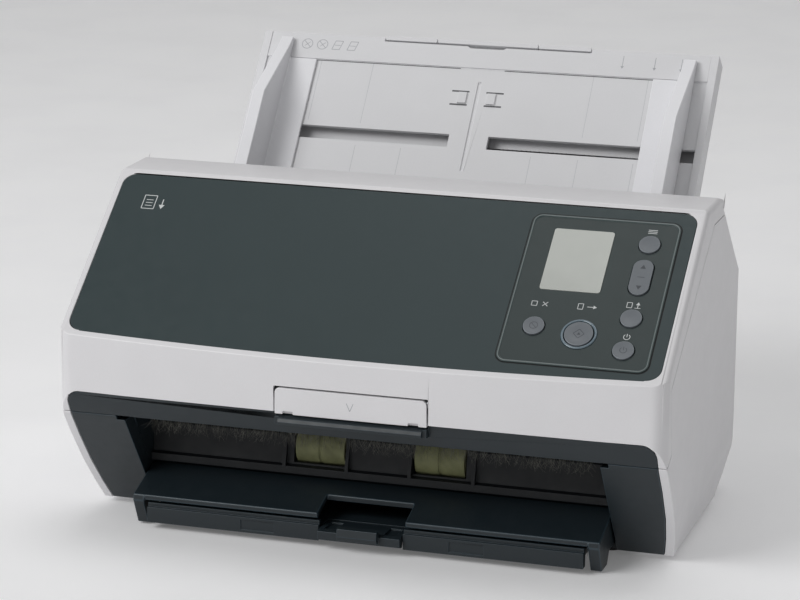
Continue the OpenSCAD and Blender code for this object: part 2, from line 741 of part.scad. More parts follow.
module right_guide() {
  place() color("#cfcfd2") union() {
    guide();
    on_chute() rack(-8, guide_inner + 4, slot_low + 0.9, pinion_s - 4.2, pinion_s - 5.7, pinion_s);
    on_chute() box(guide_inner - 10, guide_inner + 4, slot_low + 0.7, pinion_s - 4.2, -6.9, -3.3);
  }
}
module left_guide() {
  place() color("#cfcfd2") union() {
    mirror([1, 0, 0]) {
      guide();
      on_chute() rack(-8, guide_inner + 4, pinion_s + 4.2, pinion_s + 7.6, pinion_s, pinion_s + 5.7);
      on_chute() box(guide_inner - 10, guide_inner + 4, slot_low + 0.7, pinion_s + 7.6, -6.5, -3.3);
      on_chute() box(guide_inner - 10, guide_inner + 4, pinion_s + 4.2, pinion_s + 7.6, -6.9, -6.5);
    }
  }
}
module guide_pinion() {
  place() color("#e3ded0") on_chute() difference() {
    union() {
      translate([0, pinion_s, -8.5]) linear_extrude(1.6) polygon([
        for (i = [0:11]) for (k = [0:3])
          let(r = k == 0 || k == 3 ? 3.7 : 5.2,
            w = k == 0 ? -0.26 : k == 1 ? -0.12 : k == 2 ? 0.12 : 0.26)
          [r * cos((i + w) * 30), r * sin((i + w) * 30)]
      ]);
      translate([0, pinion_s, -6.9]) cylinder(r = 2.4, h = 1.6);
    }
    translate([0, pinion_s, -10]) cylinder(r = 1.2 + shaft_clearance, h = 8);
  }
}

// ---- stacker ----
module stacker_tray() {
  place() color("#2b3236") difference() {
    union() {
      along_x(-mouth_half + 4.5, mouth_half - 4.5) polygon([
        [-69.5, tray_top_front], [-69.5, tray_top_front - 2.4], [-68, tray_top_front - 3],
          [-44.6, tray_top - 3.2],
        [tray_travel - 30, tray_top - 3.2], [tray_travel - 30, tray_top - 0.4], [-43.6, tray_top - 0.4]
      ]);
      both() along_x(mouth_half - 6.5, mouth_half - 0.8) polygon([
        [-69.5, tray_top_front], [-70, 14], [-64, 1], [-54, 1], [-50, 7], [tray_travel - 30, 7],
          [tray_travel - 30, tray_top - 0.4], [-43.6, tray_top - 0.4]
      ]);
    }
    box(-tray_cut_half, tray_cut_half, -75, -54.6, 0, 40);
  }
}
module stacker_extension() {
  place() color("#272d31") difference() {
    union() {
      box(-mouth_half + 8.5, mouth_half - 8.5, -70.6, -66, 3.6, 11.4);
      box(-mouth_half + 10, mouth_half - 10, -66, stack_travel - 35, 7, 10);
      box(-mouth_half + 8.5, mouth_half - 8.5, -69, -66, 11.4, 13.2);
    }
    box(-21.2, 21.2, -75, -56, 0, 20);
    rod(-23.2, 23.2, stop_axis, 1 + shaft_clearance);
    both() box(44, 61, -71.5, -70, 5, 10);
    for (x = [-96:24:72]) box(x, x + 16, -50, 10, 6, 8.6);
  }
}
module stacker_stop() {
  place() color("#323a3f") union() {
    difference() {
      along_x(-20.6, 20.6) polygon([
        [-57.4, 7.4], [-57.4, 9.8], [-70, 10.4], [-74, 9.6], [-74, 5.4], [-70, 4.2], [-68, 7.4]
      ]);
      both() box(12, 18, -71, -60, 9.2, 12);
    }
    both() rod(20, 22.8, stop_axis, 1);
    along_x(-10, 10) polygon([[-72, 9.8], [-72, 6], [-76.4, 6.8], [-77.4, 9], [-76.4, 12.6],
      [-73.5, 12.9]]);
  }
}

// ---- reader unit, hinged ----
module top_cover() {
  place() color("#d9d8db") difference() {
    union() {
      intersection() {
        shell();
        union() {
          along_x(-half - 1, half + 1) polygon(seam_up(seam_gap / 2));
        }
      }
      intersection() {
        form(0.05);
        both() along_x(reader_half - 1.4, half - wall) difference() {
          polygon(seam_up(seam_gap / 2));
          polygon(concat([[100, 300], [100, seam_line[0].y + 1.9]],
            [for (p = seam_line) [p.x - (p.y < band_top + 2 ? 1.7 : -0.6), p.y + 1.7]], [[-110, 300]]));
        }
      }
    }
    difference() {
      intersection() {
        on_panel() slab(-panel_half, panel_half, -12, panel_length - 0.2, -panel_thickness, 5, 7);
        bow(panel_lip);
      }
      on_panel() panel_corners(panel_half, corner_s);
    }
    intersection() {
      along_x(-panel_half, panel_half) polygon([[-100, band_bottom], [-60, band_bottom], [-60, 50],
        [-100, 40]]);
      chin_outline(0);
    }
    along_x(-tab_width / 2 - 0.4, tab_width / 2 + 0.4)
      polygon([[-100, tab_z0 - 1], [-70, tab_z0 - 1], [-70, tab_z0 + tab_height + 0.7],
        [-100, tab_z0 + tab_height + 0.7]]);
    both() rod(tab_width / 2 - 1, tab_width / 2 + 2.8, tab_pivot, 2.6);
    on_panel() box(bezel_x0, bezel_x1 + 0.6, 3, bezel_s1 + 2, -16, -panel_thickness - 0.4);
  }
}
// what the rounded lower corners of the panel and its window take off
module panel_corners(x, s) {
  both() difference() {
    box(x - panel_corner, x + 1, s - 5, s + panel_corner, -panel_thickness - 2, 2);
    translate([x - panel_corner, s + panel_corner, -panel_thickness - 3])
      cylinder(r = panel_corner, h = panel_thickness + 6);
  }
}
corner_s = (corner_front - panel_y + panel_lip) / cos(panel_angle) + 0.5;
module front_panel() {
  place() color("#3d4749") difference() {
    intersection() {
      on_panel() slab(-panel_half + 0.25, panel_half - 0.25, -12 + 0.2, panel_length - 0.5,
        -panel_thickness, 0, 6.8);
      form(0);
      bow(panel_lip + 0.25);
    }
    on_panel() panel_corners(panel_half - 0.25, corner_s + 0.3);
    on_panel() slab(bezel_x0 - 0.15, bezel_x1 + 0.15, bezel_s0 - 0.15, bezel_s1 + 0.15,
      -panel_thickness - 1, 1, 5.15);
  }
}
module button_hole(x, s, d) {
  translate([x, s, -9]) cylinder(d = d + 2 * button_gap, h = 12);
}
menu_at = [right_column, bezel_s1 - 14.1];
rocker_at = [right_column - 0.2, bezel_s1 - 33.9];
manual_at = [right_column, bezel_s0 + 30.5];
power_at = [right_column, bezel_s0 + 11.8];
scan_at = [bezel_x0 + 36.3, bezel_s0 + 19];
stop_at = [bezel_x0 + 14.2, bezel_s0 + 21.7];
lcd_x0 = bezel_x0 + 11.8;
lcd_s1 = bezel_s1 - 8;
module rocker_shape(grow, n0, n1) {
  translate([rocker_at.x, rocker_at.y, n0]) linear_extrude(n1 - n0)
    rounded(-4.85 - grow, 4.85 + grow, -10.4 - grow, 10.4 + grow, 4.8 + grow);
}
module operator_bezel() {
  place() color("#343c40") on_panel() difference() {
    union() {
      slab(bezel_x0, bezel_x1, bezel_s0, bezel_s1, -panel_thickness, 0.5, 5);
      slab(bezel_x0 - 2, bezel_x1 + 2, bezel_s0 - 2, bezel_s1 + 2, -panel_thickness - 1,
        -panel_thickness, 5);
    }
    slab(bezel_x0 + 1.3, bezel_x1 - 1.3, bezel_s0 + 1.3, bezel_s1 - 1.3, 0.1, 1, 4);
    slab(lcd_x0 - 0.15, lcd_x0 + lcd_width + 0.15, lcd_s1 - lcd_length - 0.15, lcd_s1 + 0.15, -0.9, 2,
      1.6);
    slab(lcd_x0 + 1.5, lcd_x0 + lcd_width - 1.5, lcd_s1 - lcd_length + 1.5, lcd_s1 - 1.5, -9, 2, 0.6);
    button_hole(menu_at.x, menu_at.y, button_diameter);
    button_hole(manual_at.x, manual_at.y, button_diameter);
    button_hole(power_at.x, power_at.y, button_diameter);
    button_hole(stop_at.x, stop_at.y, button_diameter);
    button_hole(scan_at.x, scan_at.y, scan_diameter);
    rocker_shape(button_gap + 0.1, -9, 3);
    translate([rocker_at.x - 6.6, rocker_at.y, -3]) rotate([0, 90, 0])
      cylinder(r = 0.8 + shaft_clearance, h = 13.2);
    box(rocker_at.x - 6.6, rocker_at.x + 6.6, rocker_at.y - 0.86, rocker_at.y + 0.86, -9, -3);
    translate([scan_at.x, scan_at.y, -0.5]) difference() {
      cylinder(d = scan_diameter + 3.6, h = 2);
      translate([0, 0, -1]) cylinder(d = scan_diameter + 2.2, h = 4);
    }
  }
}
module display_window() {
  place() color("#b9bbb4") on_panel() slab(lcd_x0, lcd_x0 + lcd_width, lcd_s1 - lcd_length, lcd_s1,
    -0.9, 0.25, 1.4);
}
module display_module() {
  place() color("#7d8184") on_panel() slab(lcd_x0 - 1, lcd_x0 + lcd_width + 1, lcd_s1 - lcd_length - 1,
    lcd_s1 + 1, -6.6, -panel_thickness - 1, 1);
}
module button(at, d) {
  on_panel() translate([at.x, at.y, 0]) union() {
    difference() {
      translate([0, 0, -4.6]) cylinder(d = d, h = 5.6);
      translate([0, 0, 25.6]) sphere(r = 25);
    }
    translate([0, 0, -5]) cylinder(d = d + 2.6, h = 0.8);
    translate([0, 0, -8.2]) cylinder(d = 3.4, h = 3.4);
  }
}
module menu_button() {
  place() color("#70747a") button(menu_at, button_diameter);
}
module stop_button() {
  place() color("#70747a") button(stop_at, button_diameter);
}
module manual_feed_button() {
  place() color("#70747a") button(manual_at, button_diameter);
}
module power_button() {
  place() color("#70747a") button(power_at, button_diameter);
}
module scan_button() {
  place() color("#787c82") button(scan_at, scan_diameter);
}
module arrow_rocker() {
  place() color("#70747a") on_panel() difference() {
    union() {
      rocker_shape(0, -4.4, 1);
      translate([rocker_at.x - 6.2, rocker_at.y, -3]) rotate([0, 90, 0]) cylinder(r = 0.8, h = 12.4);
    }
    translate([rocker_at.x, rocker_at.y - 60, 26]) rotate([-90, 0, 0]) cylinder(r = 25.2, h = 120);
  }
}
module button_board() {
  place() color("#2f6b4a") on_panel() difference() {
    union() {
      box(bezel_x0 + 2, bezel_x1 - 2, bezel_s0 + 3, bezel_s1 - 3, -12, -10.4);
      for (p = [menu_at, manual_at, power_at, scan_at, stop_at]) translate([p.x, p.y, -10.4])
        cylinder(r = 3, h = 0.8);
      for (d = [-7, 7]) translate([rocker_at.x, rocker_at.y + d, -10.4]) cylinder(r = 2.4, h = 3.6);
      box(lcd_x0 + 2, lcd_x0 + lcd_width - 2, lcd_s1 - 8, lcd_s1 - 4, -10.4, -6.6);
      for (x = [bezel_x0 + 4, bezel_x1 - 4]) for (s = [bezel_s0 + 4.6, bezel_s1 - 4.6])
        translate([x, s, -10.4]) cylinder(r = 1.4, h = 9.4 - panel_thickness);
    }
    for (p = [menu_at, manual_at, power_at]) translate([p.x - 11, p.y, -13]) cylinder(r = 0.8, h = 4);
  }
}
module release_tab() {
  w = tab_width / 2;
  place() color("#dddcdf") difference() {
    intersection() {
      along_x(-w, w) polygon([
        [-92, tab_z0], [bow_front + 3.4, tab_z0], [bow_front + 3.6, tab_z0 + 3],
          [bow_front + 4.2, tab_z0 + tab_height - 3.6],
        [bow_front + 4.6, tab_z0 + tab_height - 0.4], [bow_front + 1.4, tab_z0 + tab_height],
          [-92, tab_z0 + tab_height]
      ]);
      bow(-0.5);
      rotate([90, 0, 0]) translate([0, 0, 60]) linear_extrude(60) union() {
        rounded(-w, w, tab_z0, tab_z0 + tab_height, 2.4);
        translate([-w, tab_z0]) square([2 * w, 4]);
      }
    }
    rod(-w - 1, w + 1, tab_pivot, 1.5 + shaft_clearance);
    both() box(w - 9, w - 4, -92, bow_front + 1.2, tab_z0 - 1, tab_z0 + 1.4);
  }
}
module tab_spring() {
  w = tab_width / 2;
  place() color("#b4b8bb") union() {
    rod(-w - 2.8, w + 2.8, tab_pivot, 1.5);
    both() rod(w + 0.6, w + 2.8, tab_pivot, 2.6);
  }
}
// front view of the dark band, with its rounded upper corners, made smaller by t
module chin_outline(t) {
  rotate([90, 0, 0]) translate([0, 0, 55]) linear_extrude(60)
    rounded(-panel_half + t, panel_half - t, 20, band_bottom - t * 0.7, chin_corner);
}
module front_chin() {
  w = tab_width / 2;
  place() color("#2b3337") difference() {
    union() {
      intersection() {
        form(0.15);
        chin_outline(0.3);
        along_x(-panel_half + 0.3, panel_half - 0.3) polygon([
          [-90, band_bottom - 0.2], [-63, band_bottom - 0.2], [-63, chin_bottom + 6.4],
            [-69.4, chin_bottom + 6.1], [-78.4, chin_bottom + 1.1], [-95, chin_bottom - 3]
        ]);
      }
      along_x(-mouth_half + 0.8, mouth_half - 0.8) polygon([
        [-74, chin_bottom + 2.4], [-63, chin_bottom + 6.6], [-60, chin_bottom + 6.6],
          [-60, chin_bottom - 0.6], [-72, chin_bottom - 0.6]
      ]);
      difference() {
        along_x(-w, w) polygon([
          [-80, tab_z0 - 0.9], [lip_front + 3, tab_z0 - 0.9], [lip_front + 1, tab_z0 - 1.9],
            [lip_front, tab_z0 - 3.4], [lip_front + 1.2, tab_z0 - 5], [-80, tab_z0 - 6]
        ]);
        both() box(w - 2, w + 2, -92, -86.4, 50, 80);
      }
    }
    box(-w - 0.5, w + 0.5, -95, -79.5, tab_z0 - 0.5, 90);
  }
}
module reader_outline() {
  polygon([
    [-62.6, chin_bottom + 8], [-59.8, chin_bottom - 0.4], [-48, 53.2],
      [-34, path_end_z + path_gap + 2.4],
    [-3, path_end_z + path_gap + 2.4], path(path_length, path_gap + 2.4),
      path(pick_u - 9, path_gap + 2.4), path(14, 13),
    [hinge_y + 4.6, hinge_z - 5], [hinge_y + 5, hinge_z + 1],
    [hinge_y + 2.6, hinge_z + 4.6], [hinge_y - 1, seam_z - 0.3], [panel_top_y + 20, seam_z - 0.3],
    [panel_top_y + 6, seam_z - 4],
    [panel_y + 21, band_top - 8], [-62.6, band_bottom + 3]
  ]);
}
module reader_frame() {
  place() color("#2e3337") difference() {
    union() {
      both() along_x(reader_half - 4.6, reader_half - 1.6) reader_outline();
      along_x(-reader_half + 4.6, reader_half - 4.6) polygon([
        [hinge_y - 0.6, seam_z - 0.3], [hinge_y + 4.6, hinge_z + 1], [hinge_y + 4.6, hinge_z - 5.4],
        path(13.2, 13.2), path(14.4, 16), [hinge_y + 2, hinge_z - 5.4], [hinge_y + 2, hinge_z + 0.2],
        [hinge_y - 3.2, seam_z - 0.3]
      ]);
      along_x(-reader_half + 4.6, reader_half - 4.6)
        polygon([[-59.8, chin_bottom + 9], [-57.6, chin_bottom + 9], [-57.6, chin_bottom + 2],
        [-59.8, chin_bottom + 2]]);
      both() rod(reader_half - 1.6, reader_half - 0.3, [hinge_y, hinge_z], hinge_pin_radius + 1.4);
    }
    both() rod(reader_half - 12, reader_half + 3, [hinge_y, hinge_z],
      hinge_pin_radius + shaft_clearance);
    both() rod(reader_half - 12, reader_half + 3, brake_axis, shaft_radius + shaft_clearance);
    both() rod(reader_half - 12, reader_half + 3, idler_axis, 2 + shaft_clearance);
    both() rod(reader_half - 12, reader_half + 3, exit_idler_axis, 2 + shaft_clearance);
  }
}
module upper_guide() {
  t = path_gap;
  place() color("#30363a") difference() {
    along_x(-reader_half + 4.7, reader_half - 4.7) polygon([
      path(14, 13), path(pick_u - 9, t), path(path_length - 0.4, t), [-2.6, path_end_z + t],
        [-34, path_end_z + t], [-48, 52.4],
      [-60, chin_bottom - 1.2], [-60, chin_bottom + 1], [-47.6, 54.4], [-33.6, path_end_z + t + 2],
        [-3.4, path_end_z + t + 2],
      path(path_length - 1, t + 2), path(pick_u - 8, t + 2), path(15.4, 14.4)
    ]);
    along_x(-16, 16) polygon([path(pick_u - 9.5, -1), path(pick_u + 9.5, -1), path(pick_u + 9.5, 9),
      path(pick_u - 9.5, 9)]);
    for (x = [-60, -20, 20, 60]) along_x(x - 7, x + 7)
      polygon([path(feed_u - 6.6, -1), path(feed_u + 6.6, -1), path(feed_u + 6.6, 6),
      path(feed_u - 6.6, 6)]);
    along_x(-mouth_half + 6, mouth_half - 6) polygon([path(glass_u - 7.3, -1), path(glass_u + 7.3, -1),
      path(glass_u + 7.3, 6), path(glass_u - 7.3, 6)]);
    both() box(exit_roller_offset - 9, exit_roller_offset + 9, exit_y - 7, exit_y + 7, path_end_z - 1,
      path_end_z + 8);
  }
}
module upper_glass() {
  place() color("#9fb2b0") along_x(-mouth_half + 6.3, mouth_half - 6.3)
    polygon([path(glass_u - 7, path_gap + 0.1), path(glass_u + 7, path_gap + 0.1),
      path(glass_u + 7, path_gap + 2), path(glass_u - 7, path_gap + 2)]);
}
module upper_sensor() {
  place() color("#3b3f42") difference() {
    along_x(-reader_half + 4.7, reader_half - 4.7)
      polygon([path(glass_u - 8, path_gap + 2.5), path(glass_u + 8, path_gap + 2.5),
        path(glass_u + 8, path_gap + 20), path(glass_u - 8, path_gap + 20)]);
    along_x(-mouth_half + 12, mouth_half - 12)
      polygon([path(glass_u - 2, path_gap), path(glass_u + 2, path_gap),
        path(glass_u + 2, path_gap + 8), path(glass_u - 2, path_gap + 8)]);
  }
}
module brake_roller() {
  place() color("#5e6b3f") union() {
    rod(-reader_half + 1.8, reader_half - 1.8, brake_axis, shaft_radius);
    rod(-15, 15, brake_axis, brake_radius);
  }
}
module feed_idlers() {
  place() color("#bfc3c4") union() {
    rod(-reader_half + 1.8, reader_half - 1.8, idler_axis, 2);
    for (x = [-60, -20, 20, 60]) rod(x - 6, x + 6, idler_axis, idler_radius);
  }
}
module exit_idlers() {
  place() color("#bfc3c4") union() {
    rod(-reader_half + 1.8, reader_half - 1.8, exit_idler_axis, 2);
    both() rod(exit_roller_offset - 8, exit_roller_offset + 8, exit_idler_axis, idler_radius);
  }
}
module brush_strip() {
  place() color("#57564c") union() {
    along_x(-mouth_half + 3, mouth_half - 3) polygon([[-62.5, chin_bottom - 0.6],
      [-60.5, chin_bottom - 0.6], [-60.5, chin_bottom - 3.6], [-62.5, chin_bottom - 3.6]]);
    along_x(-mouth_half + 4, mouth_half - 4) polygon([[-62, chin_bottom - 3.6],
      [-61, chin_bottom - 3.6], [-60.6, chin_bottom - 9.6], [-61.2, chin_bottom - 9.6]]);
  }
}
module cover_screws() {
  place() color("#6b6f72") union() {
    for (x = [-118, 118]) for (z = screw_rows) translate([x * box_inner / 126, y_back - 1.2, z])
      rotate([-90, 0, 0]) difference() {
      cylinder(r = 2.6, h = 1);
      translate([-1.8, -0.35, 0.5]) cube([3.6, 0.7, 1]);
      translate([-0.35, -1.8, 0.5]) cube([0.7, 3.6, 1]);
    }
  }
}

base_tray();
left_side_cover();
right_side_cover();
rear_cover();
front_wings();
left_frame_plate();
right_frame_plate();
lower_guide();
exit_guide();
lower_glass();
lower_sensor();
main_board();
power_inlet();
data_port();
network_port();
lock_slot_plate();
feed_motor();
motor_pinion();
feed_belt();
pick_belt();
pick_roller();
feed_roller();
exit_roller();
hinge_pins();
rubber_feet();
chute_plate();
chute_frame();
chute_extension_outer();
chute_extension_inner();
left_guide();
right_guide();
guide_pinion();
stacker_tray();
stacker_extension();
stacker_stop();
top_cover();
front_panel();
operator_bezel();
display_window();
display_module();
menu_button();
arrow_rocker();
stop_button();
scan_button();
manual_feed_button();
power_button();
button_board();
release_tab();
tab_spring();
front_chin();
reader_frame();
upper_guide();
upper_glass();
upper_sensor();
brake_roller();
feed_idlers();
exit_idlers();
brush_strip();
cover_screws();
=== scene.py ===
# %% [markdown]
# A sheet fed document scanner, dressed for a studio picture.
# The measured model gives every moulded part, so this lesson finishes those
# parts (soft edges, plastics, rubbers, metals) and adds what is too fine to
# be a solid: the bristles, the printed marks and the moulded symbols.

# %% Load the frame
import json
import math
import bmesh
import bpy
import numpy as np
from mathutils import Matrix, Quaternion, Vector

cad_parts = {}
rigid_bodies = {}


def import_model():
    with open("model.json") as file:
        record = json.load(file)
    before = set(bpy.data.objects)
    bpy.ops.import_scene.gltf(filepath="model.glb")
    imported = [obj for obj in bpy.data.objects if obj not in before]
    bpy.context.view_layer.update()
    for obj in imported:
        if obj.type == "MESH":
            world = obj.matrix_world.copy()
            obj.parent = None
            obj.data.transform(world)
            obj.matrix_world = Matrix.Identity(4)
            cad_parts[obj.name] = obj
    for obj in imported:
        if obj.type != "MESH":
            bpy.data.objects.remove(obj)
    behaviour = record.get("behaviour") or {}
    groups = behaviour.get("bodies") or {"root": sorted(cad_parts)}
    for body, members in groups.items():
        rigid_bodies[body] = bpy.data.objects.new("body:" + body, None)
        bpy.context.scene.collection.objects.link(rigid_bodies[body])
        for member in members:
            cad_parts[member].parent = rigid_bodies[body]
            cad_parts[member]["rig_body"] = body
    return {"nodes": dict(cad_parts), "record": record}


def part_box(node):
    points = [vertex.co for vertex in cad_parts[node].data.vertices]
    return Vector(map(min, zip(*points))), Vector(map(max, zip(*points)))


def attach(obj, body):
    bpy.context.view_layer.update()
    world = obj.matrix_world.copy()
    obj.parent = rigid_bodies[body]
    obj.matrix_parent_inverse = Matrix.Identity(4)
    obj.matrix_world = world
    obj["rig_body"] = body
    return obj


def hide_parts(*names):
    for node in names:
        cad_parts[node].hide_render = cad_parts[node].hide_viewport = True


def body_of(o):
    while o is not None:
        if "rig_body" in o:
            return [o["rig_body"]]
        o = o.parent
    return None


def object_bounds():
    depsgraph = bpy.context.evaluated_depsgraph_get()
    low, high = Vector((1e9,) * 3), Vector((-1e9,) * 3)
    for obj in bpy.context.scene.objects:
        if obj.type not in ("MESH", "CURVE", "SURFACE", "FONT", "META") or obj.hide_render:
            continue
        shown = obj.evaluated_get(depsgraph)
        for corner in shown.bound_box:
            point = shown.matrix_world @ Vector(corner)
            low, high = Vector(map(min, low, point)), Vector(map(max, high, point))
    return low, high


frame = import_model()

cad_low, cad_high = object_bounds()
MM = 0.001
nodes = frame["nodes"]
print("whole scanner", [round((b - a) / MM, 1) for a, b in zip(cad_low, cad_high)], "mm")

# %% [markdown]
# The camera stands to the right of the machine, a little above it, with a
# long lens, so the upright edges stay almost parallel. It could be aimed by
# hand, but a place and a target in metres are easier to keep.

# %% Camera
camera_data = bpy.data.cameras.new("studio_camera")
camera = bpy.data.objects.new("studio_camera", camera_data)
bpy.context.collection.objects.link(camera)
bpy.context.scene.camera = camera
camera_data.lens = 135.2
camera_data.clip_start, camera_data.clip_end = 0.05, 20
camera.location = (0.4251, -1.3934, 0.4817)
aim = Vector((-0.0031, -0.03074, 0.1067)) - camera.location
camera.rotation_mode = "QUATERNION"
camera.rotation_quaternion = aim.to_track_quat("-Z", "Y")
roll = math.radians(0.249)
tilt = Quaternion(aim.normalized(), -roll)
camera.rotation_quaternion = tilt @ camera.rotation_quaternion
print("camera is", round(aim.length, 3), "m away")

# %% [markdown]
# The stage is a floor that turns up into a wall with a wide sweep, so no
# horizon shows. It is a profile in y and z carried along x: the floor, a
# quarter circle, and the wall.

# %% Floor sweep
def grid_mesh(name, points, close_u=False, close_v=False):
    """points[i, j] is the place at the i-th step of u and the j-th step of v. Each cell of
    the grid becomes one four sided face, and a closed direction joins its last row to its
    first."""
    nu, nv = points.shape[:2]
    ids = np.arange(nu * nv).reshape(nu, nv)
    a = ids if close_u else ids[:-1]
    b = np.roll(ids, -1, 0) if close_u else ids[1:]
    right = (lambda m: np.roll(m, -1, 1)) if close_v else (lambda m: m[:, 1:])
    left = (lambda m: m) if close_v else (lambda m: m[:, :-1])
    quads = np.stack([left(a), left(b), right(b), right(a)], -1).reshape(-1, 4)
    mesh = bpy.data.meshes.new(name)
    mesh.from_pydata(points.reshape(-1, 3).tolist(), [], quads.tolist())
    return mesh


def placed(name, data):
    """A new object that carries the data and stands in the scene."""
    item = bpy.data.objects.new(name, data)
    bpy.context.collection.objects.link(item)
    return item


def smooth(mesh):
    """Shades every face of the mesh smooth."""
    mesh.polygons.foreach_set("use_smooth", np.ones(len(mesh.polygons), bool))


def sweep_points(front=-4.5, back=1.6, radius=1.2, height=3.2, half=4.5):
    """u runs along x, v along the profile: straight floor from in front, a quarter turn of
    the radius, then straight up."""
    turn = np.linspace(0, math.pi / 2, 24)
    y = np.concatenate([[front, 0], back + radius * np.sin(turn), [back + radius]])
    z = np.concatenate([[0, 0], radius * (1 - np.cos(turn)), [height]])
    x = np.linspace(-half, half, 2)
    return np.stack(np.broadcast_arrays(x[:, None], y[None], z[None]), -1)


sweep = placed("studio_sweep", grid_mesh("studio_sweep", sweep_points()))
smooth(sweep.data)
print("sweep has", len(sweep.data.polygons), "faces")

# %% [markdown]
# Soft studio light: a big panel high on the left lights the sloping panel and
# the white front, a weaker one on the right keeps the side from going dark,
# and one overhead draws the thin highlights along the upper edges. An even
# white room fills the rest.

# %% Lights
def soft_box(name, place, target, width, height, watts):
    """A flat lamp of width by height metres that faces the target."""
    lamp = bpy.data.lights.new(name, "AREA")
    lamp.shape = "RECTANGLE"
    lamp.size, lamp.size_y, lamp.energy = width, height, watts
    holder = placed(name, lamp)
    holder.location = place
    holder.rotation_mode = "QUATERNION"
    holder.rotation_quaternion = (Vector(target) - Vector(place)).to_track_quat("-Z", "Y")


middle = (cad_low + cad_high) / 2
soft_box("key_box", (-1.3, -1.7, 1.6), middle, 1.5, 1.1, 33)
soft_box("side_box", (1.9, -0.9, 0.9), middle, 0.9, 1.2, 0.4)
soft_box("top_box", (0.1, 0.3, 1.9), middle, 1.6, 1.0, 7)
room = bpy.data.worlds.new("studio_room")
bpy.context.scene.world = room
room.use_nodes = True
room_light = room.node_tree.nodes["Background"]
room_light.inputs["Color"].default_value = (1.0, 1.0, 1.0, 1)
room_light.inputs["Strength"].default_value = 0.27
bpy.context.scene.view_settings.view_transform = "Standard"
print("three soft boxes and a white room")

# %% [markdown]
# Moulded plastic is never one flat colour. A spark eroded mould leaves a fine
# grain, the colour drifts a little over a large part, and the gloss varies.
# All of it is made from noise that reads the object's own coordinates, so it
# needs no unwrapping and stays with the part when the part moves.

# %% Plastic maker
def wire(tree, a, b):
    tree.links.new(a, b)


def noise_at(tree, size_mm, detail=2.0, stretch=(1, 1, 1)):
    """Noise whose lumps are about size_mm across, read in object coordinates."""
    place = tree.nodes.new("ShaderNodeTexCoord")
    scaled = tree.nodes.new("ShaderNodeMapping")
    scaled.inputs["Scale"].default_value = stretch
    noise = tree.nodes.new("ShaderNodeTexNoise")
    noise.inputs["Scale"].default_value = 1000.0 / size_mm
    noise.inputs["Detail"].default_value = detail
    wire(tree, place.outputs["Object"], scaled.inputs["Vector"])
    wire(tree, scaled.outputs["Vector"], noise.inputs["Vector"])
    return noise.outputs["Fac"]


def spread(tree, value, low, high):
    """Turns noise, which stays near its middle, into a number between low and high."""
    span = tree.nodes.new("ShaderNodeMapRange")
    span.inputs["From Min"].default_value = 0.3
    span.inputs["From Max"].default_value = 0.7
    span.inputs["To Min"].default_value = low
    span.inputs["To Max"].default_value = high
    wire(tree, value, span.inputs["Value"])
    return span.outputs["Result"]


def tint(tree, value, dark, light):
    """A colour between dark and light by value."""
    mixed = tree.nodes.new("ShaderNodeMix")
    mixed.data_type = "RGBA"
    mixed.inputs[6].default_value = (*dark, 1)
    mixed.inputs[7].default_value = (*light, 1)
    wire(tree, value, mixed.inputs[0])
    return mixed.outputs[2]


def dent(tree, value, depth_mm, strength=1.0, under=None):
    """A bump whose height is value times depth_mm, laid over another bump if one is given."""
    bump = tree.nodes.new("ShaderNodeBump")
    bump.inputs["Distance"].default_value = depth_mm * MM
    bump.inputs["Strength"].default_value = strength
    wire(tree, value, bump.inputs["Height"])
    if under is not None:
        wire(tree, under, bump.inputs["Normal"])
    return bump.outputs["Normal"]


def linear(red, green, blue):
    """Screen colours from 0 to 255 as the shader's linear light."""
    c = np.array([red, green, blue], float) / 255
    return tuple(np.where(c <= 0.04045, c / 12.92, ((c + 0.055) / 1.055) ** 2.4).tolist())


def new_finish(name):
    finish = bpy.data.materials.new(name)
    finish.use_nodes = True
    return finish, finish.node_tree, finish.node_tree.nodes["Principled BSDF"]


def moulded(name, colour, rough=0.45, grain_mm=0.35, grain_depth=0.012, drift=0.03, gloss=0.5):
    """Plastic from a textured mould: the colour drifts by the share drift, over 25 mm and in
    specks of 0.9 mm, the roughness varies over 6 mm, and the grain is a fine bump."""
    finish, tree, shader = new_finish(name)
    c = np.array(linear(*colour))
    slow = tree.nodes.new("ShaderNodeMath")
    slow.operation = "ADD"
    wire(tree, spread(tree, noise_at(tree, 25), 0, 0.6), slow.inputs[0])
    wire(tree, spread(tree, noise_at(tree, 0.9), 0, 0.4), slow.inputs[1])
    darker, lighter = tuple(c * (1 - drift)), tuple(np.minimum(c * (1 + drift), 1))
    wire(tree, tint(tree, slow.outputs[0], darker, lighter), shader.inputs["Base Color"])
    wire(tree, spread(tree, noise_at(tree, 6, 3), rough - 0.05, rough + 0.05),
         shader.inputs["Roughness"])
    wire(tree, dent(tree, noise_at(tree, grain_mm, 3), grain_depth), shader.inputs["Normal"])
    shader.inputs["Specular IOR Level"].default_value = gloss
    return finish


# %% [markdown]
# The corner of a moulded part is rubbed smooth sooner than its faces. Each
# plastic therefore comes as a pair: the face, and a slightly lighter and
# glossier edge that the bevel puts on the narrow strips it makes. The lighter
# colour is partly that wear and partly a painted highlight along the edges.

# %% Plastics of the scanner
def with_wear_highlight_edge(name, colour, rough, wear_highlight_lift=1.06, **more):
    """The face finish and its lighter edge finish, which is rubbed wear and a painted highlight in
    one.
    """
    wear_highlight_colour = tuple(min(255, v * wear_highlight_lift + 2) for v in colour)
    return [moulded(name, colour, rough, **more),
            moulded(name + "_edge", wear_highlight_colour, rough - 0.08, grain_mm=0.6, grain_depth=0.004)]
